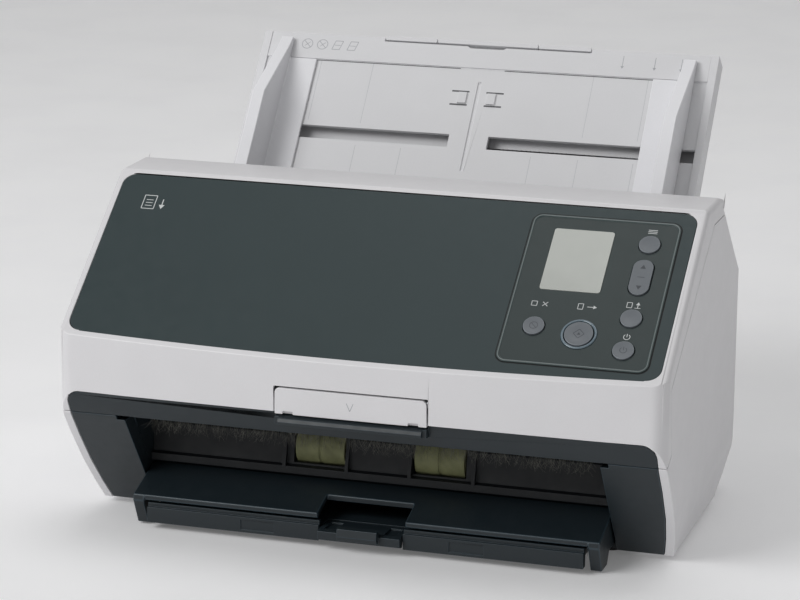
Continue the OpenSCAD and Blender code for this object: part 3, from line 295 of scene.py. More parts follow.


# The number after the roughness sets how much lighter the edge finish is: rubbed wear and a painted
# highlight together.
cover_white = with_wear_highlight_edge("cover_white", (222, 221, 223), 0.42, 1.02, drift=0.02)
chute_white = with_wear_highlight_edge("chute_white", (220, 220, 222), 0.47, 1.02, drift=0.02)
guide_white = with_wear_highlight_edge("guide_white", (232, 232, 235), 0.45, 1.02, drift=0.02)
panel_slate = with_wear_highlight_edge("panel_slate", (43, 57, 59), 0.42, 1.15, grain_mm=0.25, grain_depth=0.008)
bezel_slate = with_wear_highlight_edge("bezel_slate", (45, 56, 56), 0.4, 1.3, grain_mm=0.25, grain_depth=0.006)
dark_plastic = with_wear_highlight_edge("dark_plastic", (28, 37, 42), 0.42, 1.5)
inner_dark = with_wear_highlight_edge("inner_dark", (10, 14, 18), 0.6, 1.5)
button_grey = with_wear_highlight_edge("button_grey", (106, 111, 116), 0.4, 1.15, grain_mm=0.3)
gear_cream = with_wear_highlight_edge("gear_cream", (222, 216, 198), 0.45, 1.02)
idler_white = with_wear_highlight_edge("idler_white", (192, 194, 195), 0.4, 1.05)
print("plastics", len(bpy.data.materials))

# %% [markdown]
# The studio floor is a roll of white paper. It has a faint tooth and hardly
# any drift in colour, and it passes some light through from behind, which is
# what keeps a white ground white: a little glow of its own stands in for it.

# %% Paper of the sweep
def roll_paper(name):
    """White paper with a soft drift in tone, a fine tooth and a little glow."""
    finish, tree, shader = new_finish(name)
    drift = spread(tree, noise_at(tree, 90, 3), 0, 1)
    wire(tree, tint(tree, drift, linear(238, 238, 239), linear(243, 243, 244)),
         shader.inputs["Base Color"])
    wire(tree, spread(tree, noise_at(tree, 12, 3), 0.75, 0.9), shader.inputs["Roughness"])
    wire(tree, dent(tree, noise_at(tree, 0.6, 3), 0.02), shader.inputs["Normal"])
    shader.inputs["Emission Color"].default_value = (1.0, 1.0, 1.0, 1)
    shader.inputs["Emission Strength"].default_value = 0.11
    return finish


sweep.data.materials.append(roll_paper("sweep_paper"))
print("paper laid")

# %% [markdown]
# Rubber is duller and darker than plastic, with a ground skin. The rollers
# are ground round and round, so their fine lines run about the axis: noise
# squeezed along x gives them.

# %% Rubbers and metals
def ground_rubber(name, colour, rough=0.72, lines_mm=0.5):
    """Rubber with fine turned lines about the x axis and a dusty bloom."""
    finish, tree, shader = new_finish(name)
    c = np.array(linear(*colour))
    bloom = spread(tree, noise_at(tree, 5, 4), 0, 1)
    wire(tree, tint(tree, bloom, tuple(c * 0.82), tuple(c * 1.15 + 0.004)),
         shader.inputs["Base Color"])
    wire(tree, spread(tree, noise_at(tree, 3, 3), rough - 0.08, rough + 0.08),
         shader.inputs["Roughness"])
    lines = noise_at(tree, lines_mm, 2, (1, 0.04, 0.04))
    wire(tree, dent(tree, lines, 0.05, 0.8), shader.inputs["Normal"])
    shader.inputs["Specular IOR Level"].default_value = 0.35
    return finish


def drawn_metal(name, colour, rough=0.32, along=(0.03, 1, 1)):
    """Metal with long fine scratches: noise stretched along the rolling direction sets both
    its roughness and a very shallow bump."""
    finish, tree, shader = new_finish(name)
    c = np.array(linear(*colour))
    scratch = noise_at(tree, 0.35, 3, along)
    wire(tree, tint(tree, spread(tree, noise_at(tree, 14, 3), 0, 1), tuple(c * 0.88), tuple(c)),
         shader.inputs["Base Color"])
    wire(tree, spread(tree, scratch, rough - 0.1, rough + 0.12), shader.inputs["Roughness"])
    wire(tree, dent(tree, scratch, 0.006), shader.inputs["Normal"])
    shader.inputs["Metallic"].default_value = 1.0
    return finish


rubber_black = ground_rubber("rubber_black", (38, 38, 40))
roller_olive = ground_rubber("roller_olive", (126, 128, 92), 0.6)
roller_green = ground_rubber("roller_green", (88, 100, 62), 0.65)
roller_grey = ground_rubber("roller_grey", (74, 77, 80), 0.65)
plate_steel = drawn_metal("plate_steel", (190, 193, 195))
pin_steel = drawn_metal("pin_steel", (186, 189, 192), 0.25, (1, 0.05, 0.05))
port_metal = drawn_metal("port_metal", (170, 174, 178), 0.3)
print("rubbers and metals ready")

# %% [markdown]
# The reading windows are glass strips over the sensors. A dark see-through
# glass with a slight green cast is enough, because each has a sensor close
# behind it. The circuit boards are green lacquer over copper tracks, which a
# brick pattern stands in for.

# %% Glass, lacquer and display
def window_glass(name, colour):
    finish, tree, shader = new_finish(name)
    shader.inputs["Base Color"].default_value = (*linear(*colour), 1)
    shader.inputs["Transmission Weight"].default_value = 0.75
    wire(tree, spread(tree, noise_at(tree, 8, 3), 0.03, 0.1), shader.inputs["Roughness"])
    wire(tree, dent(tree, noise_at(tree, 30), 0.01), shader.inputs["Normal"])
    return finish


def board_lacquer(name):
    """Tracks: a brick pattern of 1.2 mm rows sets copper under green lacquer."""
    finish, tree, shader = new_finish(name)
    place = tree.nodes.new("ShaderNodeTexCoord")
    turned = tree.nodes.new("ShaderNodeMapping")
    turned.inputs["Rotation"].default_value = (math.pi / 2, 0, 0)
    tracks = tree.nodes.new("ShaderNodeTexBrick")
    tracks.inputs["Scale"].default_value = 260
    tracks.inputs["Mortar Size"].default_value = 0.06
    tracks.inputs["Color1"].default_value = (0.012, 0.09, 0.04, 1)
    tracks.inputs["Color2"].default_value = (0.016, 0.12, 0.05, 1)
    tracks.inputs["Mortar"].default_value = (0.06, 0.2, 0.07, 1)
    wire(tree, place.outputs["Object"], turned.inputs["Vector"])
    wire(tree, turned.outputs["Vector"], tracks.inputs["Vector"])
    wire(tree, tracks.outputs["Color"], shader.inputs["Base Color"])
    wire(tree, spread(tree, noise_at(tree, 4), 0.25, 0.4), shader.inputs["Roughness"])
    wire(tree, dent(tree, tracks.outputs["Fac"], 0.03), shader.inputs["Normal"])
    return finish


def display_film(name):
    """The reflective display: a grey green film with dots 0.25 mm apart."""
    finish, tree, shader = new_finish(name)
    cells = tree.nodes.new("ShaderNodeTexVoronoi")
    cells.inputs["Scale"].default_value = 4000
    cells.inputs["Randomness"].default_value = 0.0
    place = tree.nodes.new("ShaderNodeTexCoord")
    wire(tree, place.outputs["Object"], cells.inputs["Vector"])
    cloud = tree.nodes.new("ShaderNodeMath")
    cloud.operation = "MULTIPLY_ADD"
    cloud.inputs[1].default_value = 0.25
    wire(tree, cells.outputs["Distance"], cloud.inputs[0])
    wire(tree, spread(tree, noise_at(tree, 18), 0.1, 0.7), cloud.inputs[2])
    wire(tree, tint(tree, cloud.outputs[0], linear(186, 189, 183), linear(178, 181, 176)),
         shader.inputs["Base Color"])
    wire(tree, spread(tree, noise_at(tree, 7, 3), 0.16, 0.26), shader.inputs["Roughness"])
    wire(tree, dent(tree, noise_at(tree, 0.5), 0.002), shader.inputs["Normal"])
    shader.inputs["Coat Weight"].default_value = 0.3
    return finish


glass_strip = window_glass("glass_strip", (170, 190, 186))
lacquer = board_lacquer("board_green")
display_grey = display_film("display_grey")
print("finishes in all", len(bpy.data.materials))

# %% [markdown]
# A part straight from the measured model has knife edges and loose triangles.
# A copy is merged, its flat faces are made whole again, and a bevel rounds
# every edge sharper than 28 degrees. The bevel also gives the narrow strips it
# makes the lighter edge finish, rubbed wear and a painted highlight together,
# so both follow the edges by themselves.

# %% Finished copies of the moulded parts
MERGE_WITHIN = 2e-6                     # metres, corners that the model has twice
FLAT_WITHIN = math.radians(0.12)        # faces closer than this are one face
SHARP_FROM = math.radians(28)           # edges sharper than this are rounded


def edge_cosines(mesh):
    """For each edge that joins two faces: its index and the cosine between the faces. Loops
    are sorted by edge, so the two faces of an edge stand side by side."""
    count = len(mesh.loops)
    edge_of = np.empty(count, int)
    mesh.loops.foreach_get("edge_index", edge_of)
    total = np.empty(len(mesh.polygons), int)
    mesh.polygons.foreach_get("loop_total", total)
    normal = np.empty(len(total) * 3)
    mesh.polygons.foreach_get("normal", normal)
    normal = normal.reshape(-1, 3)
    face = np.repeat(np.arange(len(total)), total)
    order = np.argsort(edge_of, kind="stable")
    sorted_edge, sorted_face = edge_of[order], face[order]
    pair = np.flatnonzero(sorted_edge[1:] == sorted_edge[:-1])
    return sorted_edge[pair], (normal[sorted_face[pair]] * normal[sorted_face[pair + 1]]).sum(1)


def finished_copy(node, finishes, radius_mm=0.4, steps=2):
    """Copies the node's mesh, merges it, joins coplanar faces, and rounds the sharp edges by
    radius_mm. The first finish is for the faces, the second, if given, for the roundings."""
    source = nodes[node]
    mesh = source.data.copy()
    mesh.name = node + "_finished"
    work = bmesh.new()
    work.from_mesh(mesh)
    bmesh.ops.remove_doubles(work, verts=work.verts, dist=MERGE_WITHIN)
    bmesh.ops.dissolve_limit(work, angle_limit=FLAT_WITHIN, verts=work.verts, edges=work.edges)
    work.to_mesh(mesh)
    work.free()
    for layer in list(mesh.uv_layers):
        mesh.uv_layers.remove(layer)
    if mesh.attributes.get("custom_normal"):
        mesh.attributes.remove(mesh.attributes["custom_normal"])
    piece = placed(node + "_finished", mesh)
    mesh.materials.clear()
    for finish in finishes:
        mesh.materials.append(finish)
    mesh.polygons.foreach_set("material_index", np.zeros(len(mesh.polygons), int))
    smooth(mesh)
    edge, cosine = edge_cosines(mesh)
    weight = np.zeros(len(mesh.edges))
    weight[edge[cosine < math.cos(SHARP_FROM)]] = 1
    values = mesh.attributes.new("bevel_weight_edge", "FLOAT", "EDGE")
    values.data.foreach_set("value", weight.astype(np.float32))
    bevel = piece.modifiers.new("soft_edges", "BEVEL")
    bevel.limit_method = "WEIGHT"
    bevel.width = radius_mm * MM
    bevel.segments = steps
    bevel.use_clamp_overlap = False
    bevel.harden_normals = True
    bevel.miter_outer = "MITER_ARC"
    # The roundings take the second finish, the lighter edge: wear and a painted highlight.
    bevel.material = 1 if len(finishes) > 1 else -1
    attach(piece, body_of(source)[0])
    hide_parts(node)
    return piece


# %% [markdown]
# The white covers come out of polished steel moulds, so their seams are crisp
# and only a third of a millimetre is rubbed off each edge, and less on the
# rear cover, whose vents stand close together. The wide rounding along the top
# is part of the measured form.

# %% White covers
for node, radius, steps in (("top_cover", 0.35, 2), ("left_side_cover", 0.35, 2),
                            ("right_side_cover", 0.35, 2), ("rear_cover", 0.1, 1),
                            ("release_tab", 0.3, 2)):
    finished_copy(node, cover_white, radius, steps)
print("white covers done")

# %% [markdown]
# The chute at the back is the same plastic in a slightly greyer white: the
# plate, the frame behind it, two handles that pull out as extensions, and the
# two side guides.

# %% Chute
for node in ("chute_plate", "chute_frame", "chute_extension_outer", "chute_extension_inner"):
    finished_copy(node, chute_white, 0.35, 2)
for node in ("left_guide", "right_guide"):
    finished_copy(node, guide_white, 0.6, 3)
print("chute done")

# %% [markdown]
# The dark parts: the sloping panel and the operator bezel have a satin face,
# the chin, the wings and the stacker have a coarser grain, and everything
# inside the mouth is nearly black.

# %% Dark parts
finished_copy("front_panel", panel_slate, 0.3, 2)
finished_copy("operator_bezel", bezel_slate, 0.22, 2)
for node, radius in (("front_chin", 0.12), ("front_wings", 0.4), ("stacker_tray", 0.6),
                     ("stacker_extension", 0.15), ("stacker_stop", 0.2), ("base_tray", 0.2)):
    finished_copy(node, dark_plastic, radius, 2)
for node in ("exit_guide", "lower_guide", "upper_guide", "reader_frame"):
    finished_copy(node, inner_dark, 0.15, 2)
print("dark parts done")

# %% [markdown]
# Buttons, display, feet, screws and sockets: small parts that are seen close
# up, so most of them get finer bevels.

# %% Small parts
for node in ("menu_button", "stop_button", "scan_button", "manual_feed_button", "power_button"):
    finished_copy(node, button_grey, 0.3, 3)
for node, finishes, radius, steps in (
        ("arrow_rocker", button_grey, 0.15, 2), ("display_window", [display_grey], 0.15, 2),
        ("rubber_feet", [rubber_black], 0.5, 2), ("cover_screws", [pin_steel], 0.12, 1),
        ("power_inlet", inner_dark, 0.2, 1), ("data_port", [port_metal], 0.12, 1),
        ("network_port", [port_metal], 0.12, 1), ("lock_slot_plate", [port_metal], 0.12, 1)):
    finished_copy(node, finishes, radius, steps)
print("small parts done")

# %% [markdown]
# The rollers show in the mouth and when the reader unit is up. Grooves are
# already in the solids, so they only need rounding and ground rubber. Parts
# that stay inside keep their solids and just take a finish.

# %% Rollers and inner parts
for node, finishes, radius, steps in (
        ("exit_roller", [roller_olive], 0.25, 2), ("pick_roller", [roller_green], 0.3, 2),
        ("feed_roller", [roller_grey], 0.2, 1), ("brake_roller", [roller_green], 0.3, 2),
        ("feed_idlers", idler_white, 0.3, 2), ("exit_idlers", idler_white, 0.3, 2)):
    finished_copy(node, finishes, radius, steps)
inside = {
    "left_frame_plate": plate_steel, "right_frame_plate": plate_steel, "hinge_pins": pin_steel,
    "lower_glass": glass_strip, "upper_glass": glass_strip, "lower_sensor": inner_dark[0],
    "upper_sensor": inner_dark[0], "main_board": lacquer, "button_board": lacquer,
    "feed_motor": port_metal, "motor_pinion": gear_cream[0], "guide_pinion": gear_cream[0],
    "feed_belt": rubber_black, "pick_belt": rubber_black, "display_module": port_metal,
    "tab_spring": pin_steel,
}
for node, finish in inside.items():
    for place in nodes[node].material_slots:
        place.material = finish
print("inner parts", len(inside))

# %% [markdown]
# Printed and moulded marks sit on faces that slope, so they are drawn in the
# face's own millimetres: x to the right, s up the slope, n out of the face.
# The slope of the panel comes from the way its buttons move, and the slope of
# the chute from the way its extension slides, so the marks follow the model.

# %% Face frames
BEZEL_FOOT = 7.1        # mm from the foot of the panel to the bezel
RAIL_RISE = 0.4         # mm that the side rails stand above the face of the chute frame
joints = {j["name"]: j for j in frame["record"]["behaviour"]["joints"]}


def node_points(node):
    """All corners of a node's mesh in metres."""
    mesh = nodes[node].data
    p = np.empty(len(mesh.vertices) * 3)
    mesh.vertices.foreach_get("co", p)
    return p.reshape(-1, 3)


def face_frame(up_slope, outward, level, foot):
    """A face through the height level along its outward direction, whose s starts at foot."""
    up_slope, outward = np.array(up_slope, float), np.array(outward, float)
    return {"o": outward * level + up_slope * foot, "s": up_slope, "n": outward}


def on_face(face, x, s, n):
    """Millimetres on the face to metres in the room: o + x across + s up + n out."""
    x, s, n = np.broadcast_arrays(x, s, n)
    return face["o"] + MM * (x[..., None] * np.array([1.0, 0, 0]) + s[..., None] * face["s"]
                             + n[..., None] * face["n"])


panel_out = -np.array(joints["menu_button_press"]["axis"], float)
panel_up = np.array([0, panel_out[2], -panel_out[1]])
bezel_points = node_points("operator_bezel")
panel = face_frame(panel_up, panel_out, (node_points("front_panel") @ panel_out).max(),
                   (bezel_points @ panel_up).min() - BEZEL_FOOT * MM)
chute_up = np.array(joints["chute_extension_outer_slide"]["axis"], float)
chute_out = np.array([0, -chute_up[2], chute_up[1]])
chute = face_frame(chute_up, chute_out,
                   (node_points("chute_frame") @ chute_out).max() - RAIL_RISE * MM,
                   (node_points("chute_plate") @ chute_up).min())


def spot_of(node, face):
    """The middle of a node in a face's millimetres."""
    low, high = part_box(node)
    p = (np.array(low) + np.array(high)) / 2 - face["o"]
    return p[0] / MM, p @ face["s"] / MM


print("panel slope", round(math.degrees(math.asin(panel_up[2])), 1),
      "chute slope", round(math.degrees(math.asin(chute_up[2])), 1))

# %% [markdown]
# A printed mark is a ribbon of ink: a line of points with an offset to each
# side, laid a hair above the face and given the thickness of an ink film. On
# a dished button the height follows the dish, a sphere of 25 mm radius.

# %% Ink ribbons
DISH_RADIUS = 25.0      # mm, the sphere that hollows a button
DISH_FLOOR = 0.6        # mm from the panel up to the deepest point of the hollow


def ribbon(line, width, closed=False):
    """Left and right edges of a line: each point moved by half the width along the normal of
    the line there. Returns points (2 by k) and four sided faces."""
    line = np.array(line, float)
    if closed:
        step = np.roll(line, -1, 0) - np.roll(line, 1, 0)
    else:
        step = np.gradient(line, axis=0)
    side = np.stack([-step[:, 1], step[:, 0]], 1)
    side /= np.linalg.norm(side, axis=1, keepdims=True)
    edges = np.concatenate([line + side * width / 2, line - side * width / 2])
    k = len(line)
    a = np.arange(k if closed else k - 1)
    b = (a + 1) % k
    return edges, np.stack([a + k, b + k, b, a], 1)


def bar(x0, s0, x1, s1, width):
    """A straight stroke cut into short steps, so that it can follow a curved face."""
    t = np.linspace(0, 1, 7)[:, None]
    return ribbon(np.array([x0, s0]) * (1 - t) + np.array([x1, s1]) * t, width)


def ring(x, s, radius, width, start=0, turn=360):
    """Part of a circle of the radius, from start through turn degrees."""
    a = np.radians(start + np.linspace(0, turn, 33))
    line = np.stack([x + radius * np.cos(a), s + radius * np.sin(a)], 1)
    return ribbon(line[:-1], width, True) if turn == 360 else ribbon(line, width)


def wedge(x, s, size, turn_deg):
    """A filled triangle: a stroke whose width falls to nothing along its length."""
    t = np.linspace(0, 1, 5)
    half = size * 0.58 * (1 - t) + 0.01
    along = size * (t - 0.4)
    a = math.radians(turn_deg)
    c, d = math.cos(a), math.sin(a)
    left = np.stack([x + along * c - half * d, s + along * d + half * c], 1)
    right = np.stack([x + along * c + half * d, s + along * d - half * c], 1)
    i = np.arange(4)
    return np.concatenate([left, right]), np.stack([i + 5, i + 6, i + 1, i], 1)


def ink_piece(name, face, strokes, finish, body, level=0.04, dish=None, film_mm=0.03):
    """Joins strokes into one mesh on the face. level is the height in mm, and dish=(x, s)
    bends it to the hollow of a button centred there."""
    points, faces, base = [], [], 0
    for p, f in strokes:
        points.append(p)
        faces.append(f + base)
        base += len(p)
    flat = np.concatenate(points)
    n = np.full(len(flat), level)
    if dish is not None:
        r2 = (flat[:, 0] - dish[0]) ** 2 + (flat[:, 1] - dish[1]) ** 2
        n = n + DISH_FLOOR + DISH_RADIUS - np.sqrt(DISH_RADIUS ** 2 - r2)
    mesh = bpy.data.meshes.new(name)
    mesh.from_pydata(on_face(face, flat[:, 0], flat[:, 1], n).tolist(), [],
                     np.concatenate(faces).tolist())
    mesh.materials.append(finish)
    piece = placed(name, mesh)
    film = piece.modifiers.new("ink_film", "SOLIDIFY")
    film.thickness = film_mm * MM
    film.offset = 0
    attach(piece, body)
    return piece


def ink(name, colour, rough=0.5):
    """Screen ink: slightly uneven cover and gloss."""
    return moulded(name, colour, rough, grain_mm=0.15, grain_depth=0.003, drift=0.05)


white_ink = ink("white_ink", (205, 208, 208))
dark_ink = ink("dark_ink", (70, 73, 78))
# Greys for moulded grooves and arrows on the white plastic: painted shade of the grooves.
groove_shade_grey = ink("groove_shade_grey", (176, 177, 181), 0.6)
groove_shade_soft = ink("groove_shade_soft", (196, 197, 200), 0.6)
print("inks ready")

# %% [markdown]
# Each button has a small white sign beside it. Plain signs that anyone knows
# are used in place of words: lines for the menu, a square and a cross for
# stop, a sheet with an arrow for scan, a sheet and a hand bar for feeding by
# hand, and the usual ring and bar for power.

# %% Signs beside the buttons
menu_x, menu_s = spot_of("menu_button", panel)
stop_x, stop_s = spot_of("stop_button", panel)
scan_x, scan_s = spot_of("scan_button", panel)
feed_x, feed_s = spot_of("manual_feed_button", panel)
power_x, power_s = spot_of("power_button", panel)
rocker_x, rocker_s = spot_of("arrow_rocker", panel)


SIGN_LINE = 0.36        # mm, stroke of the signs


def frame_sign(x, s, width, height, line=0.32):
    """A rectangle drawn as four strokes."""
    w, h = width / 2, height / 2
    return [bar(x - w, s - h, x + w, s - h, line), bar(x - w, s + h, x + w, s + h, line),
            bar(x - w, s - h, x - w, s + h, line), bar(x + w, s - h, x + w, s + h, line)]


def level_line(x, s, half, line=SIGN_LINE):
    """A stroke across, half to each side of x."""
    return bar(x - half, s, x + half, s, line)


def cross(x, s, half):
    """Two strokes between the corners of a square."""
    return [bar(x - half, s - half, x + half, s + half, SIGN_LINE),
            bar(x - half, s + half, x + half, s - half, SIGN_LINE)]


def power_mark(x, s, radius, foot, top, line):
    """An open ring with a stroke from foot to top through its gap."""
    return [ring(x, s, radius, line, 125, 290), bar(x, s + foot, x, s + top, line)]


signs = [level_line(menu_x, menu_s + 8 + k, 2.2) for k in (-0.95, 0, 0.95)]
signs += frame_sign(stop_x - 2.6, stop_s + 13.2, 2.6, 2.6) + cross(stop_x + 2.6, stop_s + 13.2, 1.2)
signs += frame_sign(scan_x - 2.6, scan_s + 16.2, 2.4, 3.2)
signs += [level_line(scan_x + 2, scan_s + 16.2, 1.4), wedge(scan_x + 4.2, scan_s + 16.2, 1.7, 0)]
signs += frame_sign(feed_x - 2.4, feed_s + 7.8, 2.4, 3.0)
signs += [bar(feed_x + 1.6, feed_s + 6.4, feed_x + 1.6, feed_s + 8.2, SIGN_LINE),
          wedge(feed_x + 1.6, feed_s + 8.8, 1.7, 90),
          level_line(feed_x + 1.6, feed_s + 6.3, 1.4, 0.3)]
signs += power_mark(power_x, power_s + 8, 1.5, -0.1, 1.8, 0.34)
ink_piece("button_signs", panel, signs, white_ink, "reader", 0.13)
page_x, page_s = -128.0, 87.0
page = frame_sign(page_x, page_s, 6.4, 8.4, 0.42)
page += [level_line(page_x, page_s + k, 1.8) for k in (-2.2, -0.4, 1.4)]
page += [bar(page_x + 7, page_s + 2.2, page_x + 7, page_s - 1.4, 0.5),
         wedge(page_x + 7, page_s - 2.4, 2.6, -90)]
ink_piece("page_sign", panel, page, white_ink, "reader", 0.04)
print("signs drawn")

# %% [markdown]
# The keys carry fine dark symbols on their dished faces.

# %% Symbols on the buttons
SYMBOL_LINE = 0.26      # mm, stroke of most symbols
SYMBOL_LIFT = 0.03      # mm above the hollow of the button
ROCKER_TOP = 0.87       # mm above the panel, just over the flat top of the rocker


def diamond(x, s, half, line):
    """A square that stands on its corner."""
    return [bar(x - half, s, x, s + half, line), bar(x, s + half, x + half, s, line),
            bar(x + half, s, x, s - half, line), bar(x, s - half, x - half, s, line)]


stop_lines = [ring(stop_x, stop_s, 1.9, SYMBOL_LINE),
              bar(stop_x - 1.2, stop_s + 1.2, stop_x + 1.2, stop_s - 1.2, SYMBOL_LINE)]
scan_lines = diamond(scan_x, scan_s, 2.6, 0.3) + [wedge(scan_x, scan_s, 1.5, 90)]
power_lines = power_mark(power_x, power_s, 1.6, 0, 1.9, SYMBOL_LINE)
rocker_lines = [wedge(rocker_x, rocker_s + 6, 2.3, 90), wedge(rocker_x, rocker_s - 6, 2.3, -90),
                level_line(rocker_x, rocker_s, 1.7, 0.24)]
ink_piece("stop_symbol", panel, stop_lines, dark_ink, "stop_button", SYMBOL_LIFT, (stop_x, stop_s))
ink_piece("scan_symbol", panel, scan_lines, dark_ink, "scan_button", SYMBOL_LIFT, (scan_x, scan_s))
ink_piece("power_symbol", panel, power_lines, dark_ink, "power_button", SYMBOL_LIFT,
          (power_x, power_s))
ink_piece("rocker_symbol", panel, rocker_lines, dark_ink, body_of(nodes["arrow_rocker"])[0],
          ROCKER_TOP)
print("symbols drawn")

# %% [markdown]
# A raised bead runs round the operator bezel just inside its edge, in a lighter
# grey that paints the highlight along its rim, with a black strip outside it that
# paints the shade of the gap, and a smoked ring stands round the big key. A bead
# is a small rounded profile carried along a closed line on the face.

# %% Beads on the bezel
def rounded_line(x0, x1, s0, s1, radius, steps=10):
    """A closed rectangle with round corners: a quarter circle at each corner in turn."""
    a = np.linspace(0, math.pi / 2, steps)
    centres = np.array([[x1 - radius, s1 - radius], [x0 + radius, s1 - radius],
                        [x0 + radius, s0 + radius], [x1 - radius, s0 + radius]])
    angle = a[None, :] + np.arange(4)[:, None] * math.pi / 2
    arc = radius * np.stack([np.cos(angle), np.sin(angle)], -1)
    return (centres[:, None, :] + arc).reshape(-1, 2)


def bead(name, line, width, height, level, finish, body):
    """u runs along the closed line, v round an ellipse of width by 2*height: the point is
    the line plus its normal times half the width times cos v, raised by height times sin v."""
    step = np.roll(line, -1, 0) - np.roll(line, 1, 0)
    side = np.stack([step[:, 1], -step[:, 0]], 1)
    side /= np.linalg.norm(side, axis=1, keepdims=True)
    v = np.linspace(0, 2 * math.pi, 10, endpoint=False)
    flat = line[:, None, :] + side[:, None, :] * (width / 2 * np.cos(v))[None, :, None]
    rise = np.broadcast_to(level + height * np.sin(v)[None, :], flat.shape[:2])
    mesh = grid_mesh(name, on_face(panel, flat[..., 0], flat[..., 1], rise), True, True)
    smooth(mesh)
    mesh.materials.append(finish)
    piece = placed(name, mesh)
    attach(piece, body)
    return piece


def inset_line(box, inset, radius):
    """The round cornered rectangle that runs inset mm inside box = (x0, x1, s0, s1)."""
    x0, x1, s0, s1 = box
    return rounded_line(x0 + inset, x1 - inset, s0 + inset, s1 - inset, radius)


bezel_places = (bezel_points - panel["o"]) / MM
face_places = bezel_places[bezel_places @ panel["n"] > 0.3]
bezel_x, bezel_s = face_places[:, 0], face_places @ panel["s"]
bezel_box = (bezel_x.min(), bezel_x.max(), bezel_s.min(), bezel_s.max())
key_middle = (scan_x, scan_x, scan_s, scan_s)
RING_RADIUS = 7.95      # its corners are 1 um smaller, so that no two points meet
# The bead's lighter grey is a painted rim highlight, and the black gap strip is painted gap shade.
bead_highlight_grey = moulded("bead_highlight_grey", (112, 121, 121), 0.35, grain_mm=0.5, grain_depth=0.004)
gap_shade_black = moulded("gap_shade_black", (10, 12, 13), 0.6)
ring_smoke = moulded("ring_smoke", (104, 120, 130), 0.22, grain_mm=0.5, grain_depth=0.002,
                     gloss=0.8)
for name, line, width, height, level, finish in (
        ("bezel_highlight_bead", inset_line(bezel_box, 0.75, 4.2), 0.62, 0.2, 0.42, bead_highlight_grey),
        ("bezel_gap_shade", inset_line(bezel_box, -0.3, 5.2), 0.6, 0.05, 0.02, gap_shade_black),
        ("scan_ring", inset_line(key_middle, -RING_RADIUS, RING_RADIUS - 0.001), 1.3, 0.5, 0.15,
         ring_smoke)):
    bead(name, line, width, height, level, finish, "reader")
print("bezel from {:.1f} to {:.1f} and {:.1f} to {:.1f}".format(*bezel_box))

# %% [markdown]
# The chute plate has shallow moulded lines for paper sizes, four small
# pictures of sheets that must not be fed, and ticks at the usual widths. They
# are drawn as flat grey films on the white: painted shade for the grooves.

# %% Marks on the chute
PLATE_LEVEL, CLIP_LEVEL, FRAME_LEVEL = -0.78, -0.76, 0.02     # mm out of the chute's face
THIN, MEDIUM = 0.3, 0.35


def struck_ring(x, s):
    """A ring with a stroke through it and a short one across."""
    return [ring(x, s, 2.9, MEDIUM), bar(x - 2, s + 2, x + 2, s - 2, MEDIUM),
            bar(x - 1.2, s - 1.2, x + 1.6, s + 1.2, THIN)]


def slanted_sheet(x, s):
    """The outline of a sheet seen at a slant, with a line on it."""
    low, high = s - 2.6, s + 2.6
    return [bar(x - 2.8, low, x + 1.4, low, MEDIUM), bar(x + 1.4, low, x + 2.8, high, MEDIUM),
            bar(x - 2.8, low, x - 1.4, high, MEDIUM), bar(x - 1.4, high, x + 2.8, high, MEDIUM),
            level_line(x, s, 1.6, THIN)]


width_lines = [bar(x, 2, x, 47, THIN) for x in (-60, -35, 35, 60, 89)]
width_lines += [bar(x, 60, x, 96, 0.25) for x in (-89, -60, 60, 89)]
ink_piece("width_lines", chute, width_lines, groove_shade_soft, "base", PLATE_LEVEL)
clips = [bar(side * 4.6, s, side * 14, s, 0.9) for side in (-1, 1) for s in (74.8, 82.7)]
clips += [bar(side * 12, 96.2, side * 104, 96.2, 0.45) for side in (-1, 1)]
slot_shade = moulded("slot_shade", (92, 93, 96), 0.6)
ink_piece("clip_slots", chute, clips, slot_shade, "base", CLIP_LEVEL)
picture_s = 105.4
pictures = struck_ring(-99.0, picture_s) + struck_ring(-90.5, picture_s)
pictures += slanted_sheet(-82.0, picture_s) + slanted_sheet(-73.5, picture_s)
for x in (74.0, 91.0, 105.0):
    pictures += [bar(x, 102.5, x, 109, MEDIUM), wedge(x, 102.3, 1.6, -90)]
ink_piece("sheet_pictures", chute, pictures, groove_shade_grey, "base", FRAME_LEVEL)
print("chute marks drawn")

# %% [markdown]
# Above the exit a brush keeps dust out and drains the static from the paper:
# fine hairs that hang down and curl every way, held in a narrow rail. The rail
# is one rounded profile carried along x. Each hair is a ribbon bent along a
# curve, so all of them are one array: place along the strip, place along the
# hair, and the two edges.

# %% Brush rail
rail_low, rail_high = (np.array(v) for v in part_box("brush_strip"))
RAIL_HEIGHT = 2.6 * MM
rail_low[2] = rail_high[2] - RAIL_HEIGHT


def rail_points(rows=9, power=5.0):
    """u runs along x, v round the profile: a rounded rectangle whose corners follow a power
    of the cosine and the sine. The first and last rows shrink to the middle to close it."""
    a = np.linspace(0, 2 * math.pi, 24, endpoint=False)
    c, d = np.cos(a), np.sin(a)
    shrink = np.ones(rows)
    shrink[[0, -1]] = 0.02
    half_y, half_z = (rail_high - rail_low)[1:] / 2
    middle_y, middle_z = (rail_low + rail_high)[1:] / 2
    y = middle_y + half_y * shrink[:, None] * np.sign(c) * np.abs(c) ** (2 / power)
    z = middle_z + half_z * shrink[:, None] * np.sign(d) * np.abs(d) ** (2 / power)
    x = np.linspace(rail_low[0], rail_high[0], rows - 2)
    x = np.concatenate([x[:1], x, x[-1:]])
    return np.stack([np.broadcast_to(x[:, None], y.shape), y, z], -1)


rail = placed("brush_rail", grid_mesh("brush_rail", rail_points(), close_v=True))
rail.data.materials.append(inner_dark[0])
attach(rail, "reader")
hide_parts("brush_strip")
print("brush rail", len(rail.data.polygons))

# %% Brush hairs
HAIR_HALF = 0.065       # mm, half the width of a hair at its root
HAIR_BODY = 0.05        # mm, its thickness


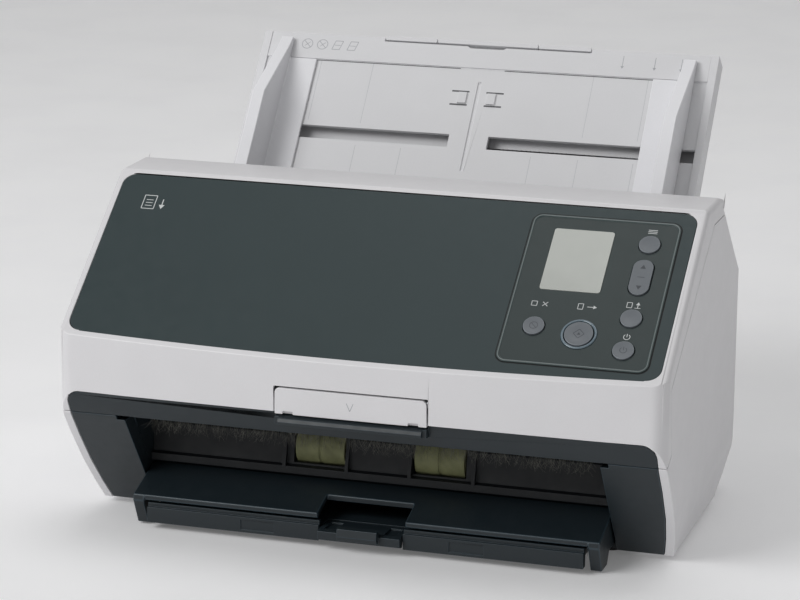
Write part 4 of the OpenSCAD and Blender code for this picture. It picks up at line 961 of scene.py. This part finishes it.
def hair_points(count=900, steps=7, seed=11):
    """Hair k starts at a random x just inside the foot of the rail and leaves with a random
    lean. A point at share t has moved lean*t + curl*t*t sideways and drop*t down. The width
    tapers to about a third, and each hair is turned by its own angle."""
    rng = np.random.default_rng(seed)
    low, high = (np.array(v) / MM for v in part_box("brush_strip"))
    x = rng.uniform(low[0] + 4, high[0] - 4, count)
    y = rng.uniform(-0.6, 0.6, count) + (low[1] + high[1]) / 2
    clump = np.sin(x * 0.55) * 0.5 + np.sin(x * 0.17 + 1) * 0.5
    drop = rng.uniform(3.2, 8.2, count) + clump * 0.8
    lean = rng.normal(0, 1.5, (count, 2)) + np.stack([clump, -0.3 + 0 * clump], 1)
    curl = rng.normal(0, 2.4, (count, 2))
    t = np.linspace(0, 1, steps)[None, :]
    px = x[:, None] + lean[:, :1] * t + curl[:, :1] * t ** 2
    py = y[:, None] + (lean[:, 1:] * t + curl[:, 1:] * t ** 2) * 0.45
    pz = high[2] - 2.5 - drop[:, None] * t
    half = HAIR_HALF * (1 - 0.7 * t)
    turn = rng.uniform(0, math.pi, (count, 1))
    off = np.stack(np.broadcast_arrays(half * np.cos(turn), half * np.sin(turn), 0 * turn), -1)
    middle_line = np.stack([px, py, pz], -1)
    return np.stack([middle_line - off, middle_line + off], 2) * MM


def hair_finish(name):
    """Drawn nylon: hairs from dark to pale, with an uneven gloss."""
    finish, tree, shader = new_finish(name)
    shade = spread(tree, noise_at(tree, 2.5), 0, 1)
    wire(tree, tint(tree, shade, linear(44, 45, 43), linear(122, 121, 112)),
         shader.inputs["Base Color"])
    wire(tree, spread(tree, noise_at(tree, 4), 0.45, 0.65), shader.inputs["Roughness"])
    wire(tree, dent(tree, noise_at(tree, 0.3), 0.01), shader.inputs["Normal"])
    return finish


hairs = hair_points()
count, steps = hairs.shape[:2]
ids = np.arange(count * steps * 2).reshape(count, steps, 2)
hair_faces = np.stack([ids[:, :-1, 0], ids[:, 1:, 0], ids[:, 1:, 1], ids[:, :-1, 1]], -1)
hair_mesh = bpy.data.meshes.new("brush_hairs")
hair_mesh.from_pydata(hairs.reshape(-1, 3).tolist(), [], hair_faces.reshape(-1, 4).tolist())
hair_mesh.materials.append(hair_finish("bristle"))
hair_piece = placed("brush_hairs", hair_mesh)
hair_piece.modifiers.new("hair_body", "SOLIDIFY").thickness = HAIR_BODY * MM
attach(hair_piece, "reader")
print("hairs", count)

# %% [markdown]
# The release tab has a faint arrow head that shows where to press. It is a flat grey film, painted
# shade for a moulded groove.

# %% Arrow head on the tab
tab_low, tab_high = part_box("release_tab")
tab_face = {"o": np.array([0, tab_low.y, (tab_low.z + tab_high.z) / 2]),
            "s": np.array([0, 0, 1.0]), "n": np.array([0, -1.0, 0])}
arrow = [bar(side * 1.7, 1.9, 0, -1.9, 0.34) for side in (-1, 1)]
ink_piece("tab_arrow", tab_face, arrow, groove_shade_grey, "release_tab", 0.02)
print("tab arrow drawn")
